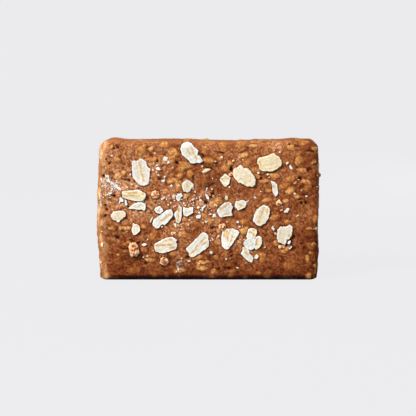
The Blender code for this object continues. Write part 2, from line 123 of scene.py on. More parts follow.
FLAKES = (
    Flake(-58, 0.95, (
        (-12.5, 61.2), (-11.7, 62.1), (-10.2, 63), (-9, 63.1), (-7.8, 62.6), (-6.8, 61.2), (-4.3, 59),
        (-4.8, 58), (-4.9, 57.1), (-4.1, 56.9), (-3.1, 55.5), (-2.2, 54.7), (-3.9, 53.5), (-5.8, 53.6),
        (-7.2, 53.2), (-8.2, 53.6), (-8.8, 54.9), (-10.3, 55.9), (-10.6, 56.5), (-11.9, 57.1),
        (-12.4, 59.8),
    ), (
        (-9.8, 60, -8, 56.9), (-5.9, 56.6, -5.3, 55.8), (-7.6, 60.6, -6.9, 59.8),
        (-6.9, 58.8, -6.1, 57.3),
    )),
    Flake(-84, 0.65, (
        (-34.1, 54.6), (-31.9, 54.5), (-30.9, 55.5), (-29.4, 55.3), (-27.9, 53.9), (-27.7, 52.4),
        (-26, 50.8), (-26.4, 49.1), (-26.5, 45.3), (-27.1, 44), (-29, 43.2), (-31, 43.6), (-33.1, 46),
        (-34.1, 47), (-34.4, 53.6),
    ), (
        (-31.2, 54.4, -30.6, 52.2), (-30.4, 51.6, -30.1, 49.8), (-29.9, 49, -29.7, 47.8),
        (-29.4, 47.4, -28.9, 45.6),
    )),
    Flake(6, 0, (
        (21.7, 54.6), (22.5, 55.9), (24.2, 56.3), (26.2, 56.8), (28.7, 57.9), (29.5, 58), (30.3, 57.1),
        (31.8, 56.3), (32.8, 54.6), (32.9, 53), (32.4, 51.9), (30.7, 50.9), (28.7, 49.8), (25.6, 49.9),
        (23.8, 50.1), (22.7, 51), (22.7, 52.6), (21.8, 53.6),
    ), ((23.1, 54.3, 23.5, 51.9),)),
    Flake(-42, 0.2, (
        (14.1, 52.8), (15, 52.6), (15.4, 51.6), (16.2, 51.2), (17.6, 51.3), (19, 49.9), (20.3, 48),
        (21.2, 46.4), (21.2, 44.5), (20.5, 43.3), (19, 42.8), (17.2, 43.2), (13.1, 45.2), (11.9, 46.6),
        (11, 48.3), (11, 50.1), (11.9, 51.2), (13.1, 51.7),
    )),
    Flake(4, 0.4, (
        (7.5, 48.9), (8.8, 47.9), (10, 46.8), (9.6, 45.8), (9.4, 44.5), (7.7, 42.8), (6.9, 43.3),
        (5.9, 44.8), (5, 46), (5.5, 47), (6.5, 47.8),
    ), ((5.8, 46.3, 9.2, 46.6),)),
    Flake(-80, 0.45, (
        (-10, 46.1), (-9, 45.9), (-7.4, 44.6), (-6.6, 44), (-6.9, 43), (-7.9, 42.2), (-8.2, 40.9),
        (-9.5, 40.3), (-11.2, 40.8), (-11.7, 42.2), (-12, 44.2),
    ), ((-9.5, 43.8, -9.2, 42.8),)),
    Flake(-3, 0.2, (
        (-39, 40.7), (-37.6, 41.1), (-35.1, 41.1), (-32.7, 41.5), (-30.8, 41.4), (-29.6, 40.5),
        (-28.4, 40.1), (-27.9, 39.1), (-28.6, 37.8), (-29.4, 36.6), (-30.6, 36.3), (-33.5, 36.5),
        (-36, 37.2), (-38, 37.7), (-38.9, 38.5),
    ), ((-37.9, 38.7, -32.5, 38.4), (-29.8, 39.5, -29.2, 39.2), (-36, 39.9, -32, 40))),
    Flake(12, 0.65, (
        (-31.8, 35.9), (-29.8, 35.9), (-28.6, 35.1), (-28.2, 34.1), (-28.6, 32.3), (-29.2, 31.4),
        (-30.2, 32.7), (-31.6, 32.4), (-33.5, 32.9), (-35.8, 32.8), (-36, 33.2), (-34.3, 34.7),
        (-32.9, 35.4),
    )),
    Flake(3, 0.2, (
        (-44.1, 30), (-43, 31.6), (-40.9, 32), (-38.6, 32), (-37.3, 31.4), (-37.3, 29.8), (-38.8, 28.4),
        (-40.1, 27.5), (-40.1, 26.8), (-41.1, 26.9), (-41.5, 27.6), (-42.8, 27.8), (-43.8, 29),
    )),
    Flake(-84, 0.5, (
        (-34, 26.6), (-33.4, 26), (-31.9, 25.8), (-31, 24.7), (-30.8, 22.9), (-31.9, 21.8), (-32.9, 21),
        (-34.1, 21), (-34.4, 22.3), (-34.8, 23.5), (-34.3, 24.9),
    ), ((-32, 25.2, -31.7, 24.2),)),
    Flake(42, 0.95, (
        (-16.9, 32.7), (-16.1, 31.7), (-15.8, 30.4), (-16.3, 29.2), (-18.2, 27.1), (-19.6, 25.5),
        (-20.8, 25.9), (-21.6, 25.5), (-22, 24.2), (-22.9, 23.7), (-24.1, 24.3), (-25.2, 25.5),
        (-25.2, 27.1), (-24.3, 28.4), (-21.8, 30), (-20, 31.5), (-18.4, 32.4),
    ), ((-18.9, 29.3, -16.8, 30.4), (-21.5, 27.3, -18.8, 28.8))),
    Flake(60, 1, (
        (-21.9, 34.3), (-20.8, 33.1), (-20.3, 31.9), (-21.6, 30.7), (-23.3, 30.9), (-24.4, 32.2),
        (-24.1, 33.3), (-23.1, 33.8),
    ), ((-22.3, 32.2, -22, 31.9),)),
    Flake(87, 0.65, (
        (-12.6, 34.1), (-12, 33.7), (-12, 31.7), (-12.1, 29.6), (-12.6, 27.1), (-13.6, 26.1),
        (-14.7, 27.1), (-14.9, 28.8), (-15.5, 30.2), (-15.1, 31.3), (-13.8, 32.7), (-13.2, 35),
    ), ((-13.4, 33, -13.6, 27.5),)),
    Flake(20, 0.75, (
        (-11.3, 34.4), (-10.8, 33.5), (-9.1, 33.2), (-7.9, 33.8), (-6.8, 33.7), (-7, 31), (-8.3, 30.2),
        (-9.8, 29.4), (-11.2, 30), (-11.5, 32.1),
    )),
    Flake(42, 0.85, (
        (7, 35.5), (8.6, 36), (10.1, 35.8), (10.5, 34.7), (11.1, 34), (10.7, 32.6), (10.2, 31.7),
        (10.7, 30.9), (10.9, 29.8), (9, 29.6), (7.2, 29.4), (5.7, 28.8), (4.9, 29.7), (4.3, 30.6),
        (3.7, 31.7), (4.3, 32.8), (5.7, 34.4),
    ), ((5.2, 32.6, 7, 33.8), (6.6, 33.2, 9.4, 35.4), (7.5, 30.2, 9.5, 30.6))),
    Flake(25, 0.45, (
        (12.3, 36.4), (13.5, 36.4), (15, 37), (16, 36.8), (17, 35.9), (17.1, 34.6), (16.4, 33.6),
        (14.8, 32.8), (13.3, 32.1), (12.5, 33.4), (11.9, 33.8), (11.9, 35.2),
    ), ((14.3, 34.8, 15, 34.2),)),
    Flake(66, 0.45, (
        (24, 34.3), (25.2, 34.7), (26.2, 34.2), (27.1, 33.7), (27.7, 32.8), (27.6, 31.1), (26.9, 28.4),
        (25.9, 26.8), (24.6, 25.7), (23.2, 25.3), (21.5, 25.9), (20.2, 27.3), (20.3, 29), (20.9, 31.1),
        (21.8, 32.6),
    ), (
        (25.5, 33.6, 24.5, 31.2), (24.6, 31.4, 24, 29.6), (23.4, 29.4, 22.7, 26.8),
        (26.7, 33, 26.5, 30.8),
    )),
    Flake(-72, 1, (
        (27.9, 45.6), (29.7, 45), (30.9, 43.9), (31.1, 41.8), (31.4, 40), (30.8, 39), (30.2, 38.2),
        (29.5, 39.4), (28.8, 40.8), (28.8, 42.9), (28.5, 44.1),
    ), ((29.4, 43.2, 29.5, 42.2),)),
    Flake(2, 0.6, (
        (-24.5, 16.7), (-23.9, 17.3), (-21.4, 18.7), (-19.1, 19.8), (-16.7, 20.1), (-15.2, 19.6),
        (-14.2, 18.7), (-14.7, 17.7), (-14.2, 16.9), (-14.1, 15.4), (-15.2, 14.4), (-17.5, 13.6),
        (-20.6, 12.6), (-22.2, 12.9), (-23.9, 13.8), (-24.6, 15),
    ), (
        (-24.2, 16.2, -20.6, 16.2), (-20.6, 16.3, -16.4, 16.4), (-19.3, 18.4, -16.6, 18.8),
        (-17.3, 14.8, -15.6, 15.2),
    )),
    Flake(42, 0.75, (
        (-3.2, 22), (-2.2, 22.3), (-0.9, 21.9), (-0.2, 21), (-0.1, 19.5), (0.3, 17.9), (0.1, 15.8),
        (-1.1, 14.6), (-2.8, 13.6), (-4.4, 12.3), (-6.1, 11.2), (-7.9, 11), (-8.8, 11.5), (-9, 12.7),
        (-9.9, 13.8), (-9.8, 15.2), (-8.7, 16.2), (-6.9, 17.9), (-5.7, 19.3), (-4.4, 20.4),
    ), (
        (-3.6, 17.4, -1.4, 19.6), (-5.4, 15.4, -4.6, 15.9), (-8.4, 12.3, -5.4, 14.3),
        (-2.6, 16.4, -1, 17.8),
    )),
    Flake(76, 0.8, (
        (6.4, 22.7), (7.6, 23.5), (9.7, 23.9), (11.3, 24.1), (11.9, 23.3), (13.2, 23.3), (13.9, 22.4),
        (13.4, 20.8), (11.9, 18.7), (10.7, 16.7), (9.1, 14.7), (7.2, 14.6), (6.8, 15.2), (6.1, 16.2),
        (5.8, 18.1), (5.9, 20.4),
    ), (
        (10.2, 24, 9, 21.2), (9, 21.2, 8.7, 18.4), (7.5, 23, 7.1, 20.6), (8.6, 23.4, 8, 20.8),
        (10.9, 20.6, 10.3, 18.2),
    )),
    Flake(76, 0.55, (
        (18, 23.5), (19, 24.2), (20.6, 24), (21.8, 23.3), (22, 22), (21.4, 21), (21.2, 20),
        (19.8, 18.9), (17.7, 18.9), (17.2, 20.2), (17.4, 21.6),
    ), ((20.3, 21.4, 20.8, 20.8), (18.9, 22.3, 19.5, 21.9), (20.2, 23.2, 20.8, 22.9))),
    Flake(75, 0.35, (
        (21.2, 20), (22.8, 20.6), (23.9, 20.2), (24.2, 18.7), (24.2, 17.1), (23.3, 15.4), (21.8, 14.3),
        (20.9, 14.6), (20.6, 17.7),
    ), ((22, 18.6, 21.7, 16.4),)),
    Flake(-45, 0.65, (
        (15.5, 15.4), (16.3, 15.8), (17.3, 15.2), (18.5, 13.8), (18.5, 12.5), (19.6, 11.7),
        (20.4, 10.7), (20.1, 9.8), (20, 8.6), (19.4, 8.2), (18.5, 8.8), (17.1, 9.8), (15.7, 11.3),
        (14.6, 12.5), (15.3, 13.6),
    ), ((16, 15.6, 16.9, 14.7), (17, 12.9, 17.9, 12))),
    Flake(35, 1, (
        (16.3, 18.3), (17.7, 19.4), (21, 19.4), (21.4, 17.7), (21.2, 15.4), (20.2, 14.4), (18.9, 14),
        (17.9, 14.6), (16.7, 15.4), (15.9, 16.7), (16, 17.7),
    ), ((19, 17.8, 19.3, 17.6),)),
    Flake(40, 0.4, (
        (20.8, 10.9), (21.2, 11.7), (21.8, 12.2), (22.8, 11.4), (22.3, 10.5), (21.8, 10), (20.4, 10.3),
    )),
    Flake(75, 0.4, (
        (31.3, 23.7), (32.3, 24.7), (32.8, 25.4), (33.3, 24.7), (35.6, 25), (36.8, 25.9), (37.2, 25.1),
        (38.3, 24.9), (37.9, 23.7), (37.8, 22), (37.4, 20.4), (36.6, 19.3), (35.2, 18.7), (36.6, 18.1),
        (35.2, 17.3), (34.5, 16.5), (33.7, 16.9), (32.5, 17.3), (31.5, 17.9), (31, 19.2), (30.9, 21.4),
    ), ((36.4, 20.8, 36.9, 20.2),)),
    Flake(30, 1, (
        (-13.8, 39.8), (-12.6, 39.7), (-11.4, 38.9), (-12.6, 37.9), (-13, 36.4), (-13.8, 36.4),
        (-14.7, 37.6), (-14.5, 38.5),
    )),
    Flake(-60, 1, ((-1.6, 40), (-0.5, 39.3), (0.4, 37.6), (0.3, 36.9), (-0.8, 37.7), (-1.3, 38.9))),
    Flake(60, 1, (
        (-1, 34.9), (-1.3, 34), (-2.1, 33.3), (-2.5, 31.9), (-3.1, 31.8), (-3.1, 33.3), (-2.3, 34),
    )),
    Flake(20, 1, (
        (-5.6, 29.8), (-4.4, 30.1), (-3.6, 30.6), (-3.3, 29.6), (-3.8, 28.5), (-5.2, 28.6),
        (-5.7, 29.1),
    )),
    Flake(60, 1, (
        (29.5, 25.8), (29.7, 25.4), (29.3, 24.4), (30, 23.7), (29.4, 22.9), (28.9, 23.6), (28.3, 24.2),
    )),
    Flake(-65, 1, (
        (-40, 38.1), (-39.3, 38), (-38.2, 36.6), (-38.5, 36), (-39.4, 36.2), (-40.5, 35), (-40.1, 36.4),
    )),
    Flake(-80, 1, ((-37.7, 36.9), (-37, 36.9), (-36.5, 34.9), (-36.7, 34.4), (-37.6, 34.5))),
)
FLAKE_THICKNESS = 0.6
FLAKE_RISE = 0.8
# How deep a flake is pressed into the dough.
FLAKE_PRESS = 0.15
CREASE_WIDTH = 0.42
FLAKE_SPOKES = 96
# A flake's rings, as shares of the way from its middle to its rim: outward on top, inward below.
FLAKE_RINGS = (0.07, 0.15, 0.23, 0.31, 0.39, 0.47, 0.55, 0.63, 0.71, 0.79, 0.86, 0.92, 0.965, 0.99, 1)
FLAKE_UNDER = (1, 0.97, 0.6)

# Chips of flake on the front: place, height, length, width, turn.
CHIPS = (
    (-15.7, 38.4, 2.2, 1.2, 90), (-1, 50.2, 3.4, 1.7, 28), (-0.8, 41.7, 2, 0.7, 75),
    (-4.5, 33.5, 1.4, 1, 0), (-4.2, 31.1, 1, 0.9, 0), (2.5, 29.9, 2.2, 1.4, -30),
    (2.1, 29.2, 1, 0.8, 0), (0.9, 30.4, 1.6, 0.8, 0), (8.2, 37.9, 1.8, 1.2, 90),
    (1.6, 41.8, 0.8, 0.7, 0), (-6.9, 37.1, 1.7, 1, 20), (-3.7, 36.7, 1.2, 0.8, 0),
    (-5.3, 37.6, 0.7, 0.6, 0), (-5.9, 40.5, 0.8, 0.7, 0), (-19.4, 55.4, 2.2, 2, 0),
    (-18, 54, 1.4, 1.2, 0), (-22.5, 50.9, 2.4, 1.2, -35), (-20.5, 45.5, 1.6, 1.3, 0),
    (-16.7, 43.4, 1.4, 1, 70), (-43.3, 56.9, 0.9, 0.8, 0), (-35.1, 48.3, 0.8, 0.8, 0),
    (-24.6, 53.5, 0.8, 0.7, 0), (-22.4, 48.1, 0.9, 0.8, 0), (-34.4, 44, 0.8, 0.7, 0),
    (-36.6, 42.6, 0.8, 0.6, 0), (-44.1, 39.9, 1.8, 0.8, 30), (-20.5, 37.5, 2, 0.8, 30),
    (-18.9, 37.3, 0.7, 0.7, 0), (-17.7, 37.4, 0.7, 0.6, 0), (-18.1, 34.7, 0.9, 0.8, 0),
    (-2.8, 52.1, 0.9, 0.8, 0), (6, 56.1, 1.1, 0.9, 0), (3.1, 54.2, 0.9, 0.7, 0),
    (37, 51.6, 1.8, 1.1, -60), (35.4, 53.5, 1.6, 0.9, 60), (32.1, 58.4, 0.7, 0.7, 0),
    (26.7, 48.4, 1, 0.9, 0), (22.4, 49.1, 0.9, 0.8, 0), (15.5, 54.9, 0.7, 0.7, 0),
    (44.1, 38.6, 1, 0.8, 0), (38.8, 39.7, 1, 0.9, 0), (21.1, 37.9, 1, 0.7, 0), (35.4, 32, 2.6, 2.2, 20),
    (40.4, 29.8, 1.6, 0.6, 35), (25.6, 15.4, 0.9, 0.8, 0), (36.7, 14.8, 0.8, 0.7, 0),
    (37.5, 15.4, 0.8, 0.7, 0), (48.9, 23.7, 1.4, 1, 0), (-25.8, 27.8, 2.4, 0.8, 65),
    (-21, 24.8, 0.9, 0.8, 0), (-14.7, 25.3, 2.4, 1, -65), (-29.1, 16.6, 2, 1.6, 10),
    (-27.7, 11.5, 1.2, 1, 0), (-29.5, 10.9, 0.8, 0.7, 0), (-27.5, 19, 0.7, 0.6, 0),
    (-48.2, 16.7, 2, 1, 90), (-48.9, 8.3, 1.6, 1, 90), (-48.2, 22.5, 0.8, 0.7, 0),
    (-8.5, 27.8, 0.8, 0.7, 0), (-9, 25.7, 0.7, 0.7, 0), (-7.6, 27, 0.6, 0.6, 0),
    (-1, 27.1, 1.4, 1.2, 0), (-2.3, 26.7, 0.7, 0.6, 0), (13.2, 26.9, 1.6, 0.9, -40),
    (14, 24.7, 1, 0.6, 0), (1.3, 13, 1.6, 1.4, 0), (8.1, 10.1, 0.8, 0.7, 0), (-12.2, 10.2, 1.2, 0.8, 0),
    (-13.7, 5.2, 0.8, 0.7, 0), (-14.5, 4.2, 0.8, 0.7, 0), (-8.8, 9, 1.6, 0.8, 0),
    (13.2, 5.9, 1, 0.6, 0), (17.5, 36.2, 2, 0.9, 30), (-7.2, 43.2, 2.2, 1.5, 85),
    (36.5, 17.5, 2.2, 1, 60), (34.3, 16.8, 1.6, 0.8, 90),
)
CHIP_SPOKES = 24
CHIP_RINGS = (0.5, 0.9, 0.98, 1)
CHIP_UNDER = (1, 0.6)
# Chips are made this much larger than their rows say, since most of their outline lies inside.
CHIP_SPREAD = 1.12

# Lumps of baked crumb on the front: place, height, length, width, turn, and how golden.
CRUMBS = (
    (-33.7, 14.4, 6.4, 4.6, 90, 0), (-20, 9, 3.6, 3.4, 20, 0), (-23.8, 39.3, 3.6, 3.4, 50, 0),
    (6.4, 24.5, 3.6, 3.4, 10, 0), (-15.6, 21.6, 2.4, 1.8, 0, 0), (31.8, 35.4, 2.6, 2.4, 40, 0),
    (10.5, 48.4, 2.4, 1.6, 0, 0), (39.1, 44.7, 1.8, 0.8, 40, 0), (42.1, 41.1, 1.3, 1, 0, 0.5),
    (33, 15.5, 2.4, 1.8, 0, 0), (2.3, 38.4, 1.4, 1.2, 0, 0), (-22.2, 35.1, 1, 0.9, 0, 0),
    (4.3, 19.9, 2, 1, 60, 0), (20.7, 38.4, 1, 0.9, 0, 0), (16.4, 18.8, 1.2, 1, 0, 0),
    (30.5, 21.6, 1.4, 1.2, 0, 0), (33, 32.2, 1.4, 1, 0, 0), (27.2, 46.9, 1, 0.9, 0, 0),
    (11.3, 54.4, 1.4, 1.2, 0, 0), (50, 47.9, 2.2, 1.7, 0, 1),
)
# How deep a lump is pressed into the dough.
CRUMB_PRESS = 0.35
# Chips and crumbs lie at the dough's own level, but no lower or higher than this.
LEVEL_RANGE = (-0.4, 0.8)

# White flour on the front: place, height, length, width and turn of a patch, and how many grains.
DUST = (
    (-45.6, 47.4, 3, 1.2, -35, 60), (-44.2, 44.9, 4.4, 1, -35, 100), (-41.4, 43, 3.6, 1.4, -35, 80),
    (-40.2, 41.7, 2, 1.2, -40, 30), (-41, 44.8, 2, 1.6, 0, 20), (-47.4, 43.2, 2.4, 0.8, 15, 20),
    (-48.4, 45.9, 2.6, 0.5, -65, 20), (-43.6, 42.6, 7, 4, -20, 50), (-48.9, 37, 0.6, 9, 0, 26),
    (-48.9, 56.5, 0.5, 5, 0, 14), (-46.2, 39, 5, 6, 0, 30), (-10, 35, 26, 11, 0, 60),
    (-30, 45, 40, 24, 0, 50), (0, 34, 90, 50, 0, 120),
)
GRAIN_SIZE = (0.1, 0.4)
# No grain lies below or above this.
DUST_SPAN = (1, HEIGHT - 3)

# Oats bedded in the front where they show best: place, height, length, width, turn.
BEDDED_IN_FRONT = (
    (-30.7, 59.3, 4.5, 3.6, 20), (-38, 58.8, 2, 1.5, 0), (-25.8, 59.8, 2.2, 2, 0),
    (-19.4, 61.9, 3.4, 2.8, 0), (-16.4, 58.1, 4.2, 3.8, 60), (-43.4, 60.8, 1.6, 1.4, 0),
    (-41.1, 54.9, 3, 2, 0), (-40.4, 47.8, 4.4, 2.4, 20), (-38, 49.1, 2, 1.8, 0), (-24, 54.8, 4, 1.4, 0),
    (-18.7, 41, 3, 2, 10), (-46.2, 39.6, 2, 1.8, 0), (-15.7, 45.8, 4.6, 2, 0),
    (-10.4, 52.8, 5, 2.6, -8), (-12.5, 50.7, 3.6, 1.6, 5), (-13.4, 43.1, 3.6, 2.8, 90),
    (-8.3, 48.4, 3.2, 2, 90), (-12.5, 47.5, 2.2, 2, 0), (8.1, 51.4, 3.2, 3, 30), (9.9, 53.7, 2.6, 2, 0),
    (5.3, 55.4, 2.4, 1.8, 0), (15.2, 56.7, 4.4, 2.6, 12), (3, 35.2, 4.4, 2.4, 15),
    (3.9, 37.5, 3, 1.6, 0), (-16.6, 54.7, 3, 2.6, 40), (0.5, 54.7, 3, 1.8, 0), (-9.9, 38.9, 2, 1.6, 0),
    (21.5, 63.1, 5, 1.4, 0), (19.6, 61.3, 3.6, 1.4, 0), (29.5, 47.9, 4, 2.2, -10),
    (25.4, 45.4, 3.4, 1.6, 0), (36.5, 46.3, 4, 2.4, 0), (34.2, 43.1, 4.4, 2.2, 10),
    (36.9, 41, 3.4, 3, 30), (27.5, 41, 3, 1.2, 0), (42.5, 50.2, 4.6, 2, -8), (41.1, 54.4, 4.6, 3, 60),
    (43.4, 45.1, 4, 1.8, -12), (39.5, 38.6, 2.8, 2, 0), (36.7, 60.5, 3, 1.6, 0), (42.7, 62.6, 4, 2, 0),
    (34.8, 36.6, 2.8, 1.6, 0), (26.1, 36.6, 3.4, 1.4, 10), (47.8, 59.8, 2, 1.4, 0),
    (47.3, 53.7, 2.6, 1.6, 90), (22.2, 47.5, 2.2, 1.6, 0), (30, 28.8, 3.6, 2.2, 5),
    (35.4, 26.9, 2.2, 1.8, 0), (45.5, 23.8, 2.6, 1.2, 0), (34.8, 13.7, 2.8, 2.4, 0),
    (30.9, 17.4, 2.6, 2, 0), (47.5, 16.9, 2, 1.4, 0), (45, 10, 3, 2, 90), (16.2, 23, 3.2, 2.6, 0),
    (15.7, 26.9, 2, 1.6, 0), (23.8, 12.1, 3.4, 1.2, 0), (48.5, 27.8, 2.6, 1.4, 90),
    (-26.5, 9.3, 4.6, 1.8, -6), (-40.8, 11.8, 1.6, 1, 0), (-29.3, 14.4, 2.6, 2.4, 0),
    (-37.4, 16.9, 3, 1.4, 35), (-38, 23.9, 3.4, 1.2, 0), (-29.3, 24.6, 2.4, 2, 0),
    (-44.1, 23.9, 3, 1.6, 0), (-16.4, 12.3, 2.2, 2, 0), (-2.8, 8.3, 4.4, 1.8, 4),
    (-2.8, 5.6, 4.6, 2.2, 0), (-4.8, 10.7, 4, 1.8, 20), (-12.2, 4.7, 4, 1.8, 4),
    (3.2, 10.7, 2.2, 1.8, 0), (7.2, 11.8, 3, 2, 0), (1.2, 27.1, 2.4, 2.2, 0), (3.7, 25.3, 1.4, 1.2, 0),
    (-2.1, 29.5, 2.2, 1.6, 0), (-11.5, 21.1, 2.6, 2.4, 0), (-11, 28.1, 2.6, 2, 0), (4.2, 17.9, 3, 2, 0),
    (4.6, 23.1, 2.2, 2, 0), (2.4, 4.1, 2.4, 2, 0),
)
# How far they rise from the dough, and how plainly they show: from 0 to 1.
BEDDED_RISE = 0.45
BEDDED_SHOW = (0.6, 1)
# Elsewhere one lies in each cell of a grid, as in the CAD: how far apart, how much moved, and sizes.
BEDDED_CELL = 13.5
BEDDED_SCATTER = 0.22
BEDDED_LENGTH = (3.8, 6.2)
BEDDED_SHAPE = (0.5, 0.72)
# Fainter ones lie between them, and in the front.
FAINT_CELL = 6.0
FAINT_SCATTER = 0.5
FAINT_LENGTH = (1.6, 4.6)
FAINT_SHOW = (0.05, 0.6)
# How plainly both kinds show on the other sides.
OTHER_SHOW = (0.1, 0.9)
# Below this height the dough's relief fades out, down to its flat base.
BASE_FADE = 2.5

# Holes in the front, painted dark as their shade: place, height, length, width.
PITS = (
    (-22, 46.4, 1.1, 1.1), (-42.3, 38.6, 0.9, 0.9), (-14, 53.5, 1, 1), (10.4, 50.9, 1.2, 1.2),
    (41.5, 46.5, 1, 1), (42, 35.4, 0.8, 0.9), (43.9, 35.7, 0.8, 0.9), (-9.2, 10.7, 1.2, 1.2),
    (-42.3, 60, 0.8, 0.8), (-40.7, 60.5, 0.8, 0.8), (-38.5, 59.3, 0.8, 0.8), (-45.9, 55.3, 0.9, 0.9),
    (-44.4, 53.5, 0.9, 0.9), (-23, 54.3, 0.9, 0.9), (-37.7, 53, 0.8, 0.8), (-47.4, 47.9, 0.9, 0.9),
    (-46.4, 34.4, 0.9, 0.9), (-46, 32.6, 0.9, 0.9), (-46.5, 29.7, 1, 1), (-31.2, 42, 1.4, 0.5),
    (3.7, 53.5, 0.8, 0.8), (-0.9, 35.4, 1.4, 1.2), (1.8, 39.8, 1.3, 1.1), (1.2, 37.9, 0.9, 0.9),
    (-2.2, 56.5, 0.8, 0.8), (6, 58.1, 1.4, 0.6), (44.7, 50, 0.8, 0.8), (23.7, 46.7, 0.9, 0.9),
    (36.5, 62.1, 0.8, 0.8), (41, 37.1, 1.2, 0.4), (-32.2, 17.2, 1.2, 1), (-41.3, 19.7, 1.4, 1),
    (10.1, 13, 1, 0.6), (10.4, 11.4, 0.8, 0.8), (2.3, 7.2, 0.8, 0.8), (4.7, 5.3, 1, 1),
    (43.4, 15.3, 0.8, 0.8), (48.9, 17.4, 0.8, 0.8),
)
# Bare fruit in the front: place, height, length, width.
FRUITS = ((-12.3, 7.2, 4.4, 4), (-14, 7.6, 1.8, 2), (-19.1, 59.5, 1.6, 1))
# Crevices in the front, painted dark as their shade: place, height, length, width and turn.
CREVICES = (
    (1.4, 43.8, 4.6, 0.8, 24), (0.6, 51.2, 5, 0.9, -12), (-6.8, 46.6, 4, 0.5, 85),
    (-36.6, 45.9, 3.6, 0.8, 0), (40, 61, 3.6, 0.35, -8), (45.8, 58.8, 4, 0.6, -8),
    (47.4, 52.9, 2.4, 0.5, 20), (-37.4, 14.6, 3.4, 0.7, 5), (-34.6, 18.4, 3, 0.8, -20),
    (-20.5, 52.2, 3.2, 0.6, 35), (9.2, 5.6, 4.6, 1, 0), (2, 24.2, 3.6, 0.8, 10),
    (33.2, 16.4, 2.2, 0.7, 25), (-47, 51.4, 2.2, 0.6, 75), (-28.6, 7.9, 2.4, 0.7, -8),
    (42.2, 42.6, 2.6, 0.7, 10), (-25.6, 56.9, 2.6, 1, -15), (37.9, 19.6, 3.4, 1.5, 35),
    (37.2, 17.2, 2.8, 1.7, 75), (35.4, 16.4, 2.4, 1.1, 60), (38.4, 14.7, 3, 1.4, 0),
)
# How deep holes and crevices are, and how much rougher than the dough.
HOLLOW_DEPTH = 0.6
HOLLOW_ROUGHNESS = 0.4

# The camera, in millimetres: its lens and sensor, how much of the bar's front plane the picture
# spans, the point in its middle, and how many degrees it looks down.
LENS = 100
SENSOR = 36
VIEW_WIDTH = 187.8
VIEW_MIDDLE = (-0.2, -9.5, 33.2)
VIEW_TILT = 6

# The studio, in metres and watts.
SWEEP_COLOUR = (0.02, 0.02, 0.02)
SWEEP_GLOW = (0.81, 0.81, 0.825)
SWEEP_WIDTH = 24
SWEEP_FRONT = -12
SWEEP_BACK = 0.9
SWEEP_BEND = 0.35
SWEEP_STEPS = 12
SWEEP_TOP = 1.8
SURROUND_SIDES = 64
SURROUND_REACH = 2
SURROUND_SPAN = (-1, 2)
ROOM_COLOUR = (1.0, 0.98, 0.96)
ROOM_STRENGTH = 0.27
LIGHTS = (
    ("key", (-0.84, -0.84, 0.91), 0.4, 32.0),
    ("fill", (0.5, -0.35, 0.2), 0.5, 1.2),
    ("back", (0.35, 0.55, 0.16), 0.16, 2.4),
)


# Seeded noise.

def scrambled(cells, seed):
    """A random number from 0 to 1 for each whole-number cell."""
    primes = np.array((73856093, 19349663, 83492791))
    mixed = (cells @ primes + seed * 15485863).astype(np.uint64)
    for prime in (2246822519, 3266489917):
        mixed = ((mixed ^ (mixed >> np.uint64(15))) * np.uint64(prime)) & np.uint64(0xFFFFFFFF)
    return (mixed ^ (mixed >> np.uint64(16))).astype(float) / 0xFFFFFFFF


def noise(points, size, seed):
    """Smooth random values from -1 to 1, with humps of this size."""
    place = points / size
    cells = np.floor(place).astype(np.int64)
    part = place - cells
    part = part * part * (3 - 2 * part)
    total = np.zeros(len(points))
    for corner in itertools.product((0, 1), repeat=3):
        weight = np.prod(np.where(corner, part, 1 - part), axis=1)
        total += weight * scrambled(cells + corner, seed)
    return 2 * total - 1


def layered(points, size, seed, layers=3):
    """Noise with finer and weaker noise on top."""
    total = sum(noise(points + 31.7 * i, size / 2**i, seed + i) / 2**i for i in range(layers))
    return total / sum(1 / 2**i for i in range(layers))


def scattered(points, size, seed):
    """The distance to the nearest of scattered middles, and a random number for that middle."""
    place = points / size
    cells = np.floor(place).astype(np.int64)
    best = np.full(len(points), np.inf)
    tag = np.zeros(len(points))
    for step in itertools.product((-1, 0, 1), repeat=3):
        near = cells + step
        middle = near + np.stack([scrambled(near, seed + axis) for axis in range(3)], axis=1)
        gap = np.linalg.norm(middle - place, axis=1)
        tag = np.where(gap < best, scrambled(near, seed + 3), tag)
        best = np.minimum(best, gap)
    return best * size, tag


def smooth(value, low, high):
    """0 below low, 1 above high, and an easy slope between. Low may be the larger."""
    share = np.clip((value - low) / (high - low), 0, 1)
    return share * share * (3 - 2 * share)


def bell(distance, spread):
    """A smooth share that is 1 at no distance and fades out past the spread."""
    return np.exp(-((distance / spread) ** 2))


def blend(first, second, share):
    """Mixes two colours, or two rows of colours, by a share for each point."""
    share = np.asarray(share)[..., None]
    return first * (1 - share) + second * share


# The shape of the block.

def edge_fall(distance, size):
    """How far the rounded edge has dropped below the flat face at this distance from its middle."""
    past = np.clip(np.abs(distance) - (size / 2 - EDGE_RADIUS), 0, EDGE_RADIUS)
    return EDGE_RADIUS - np.sqrt(EDGE_RADIUS**2 - past**2)


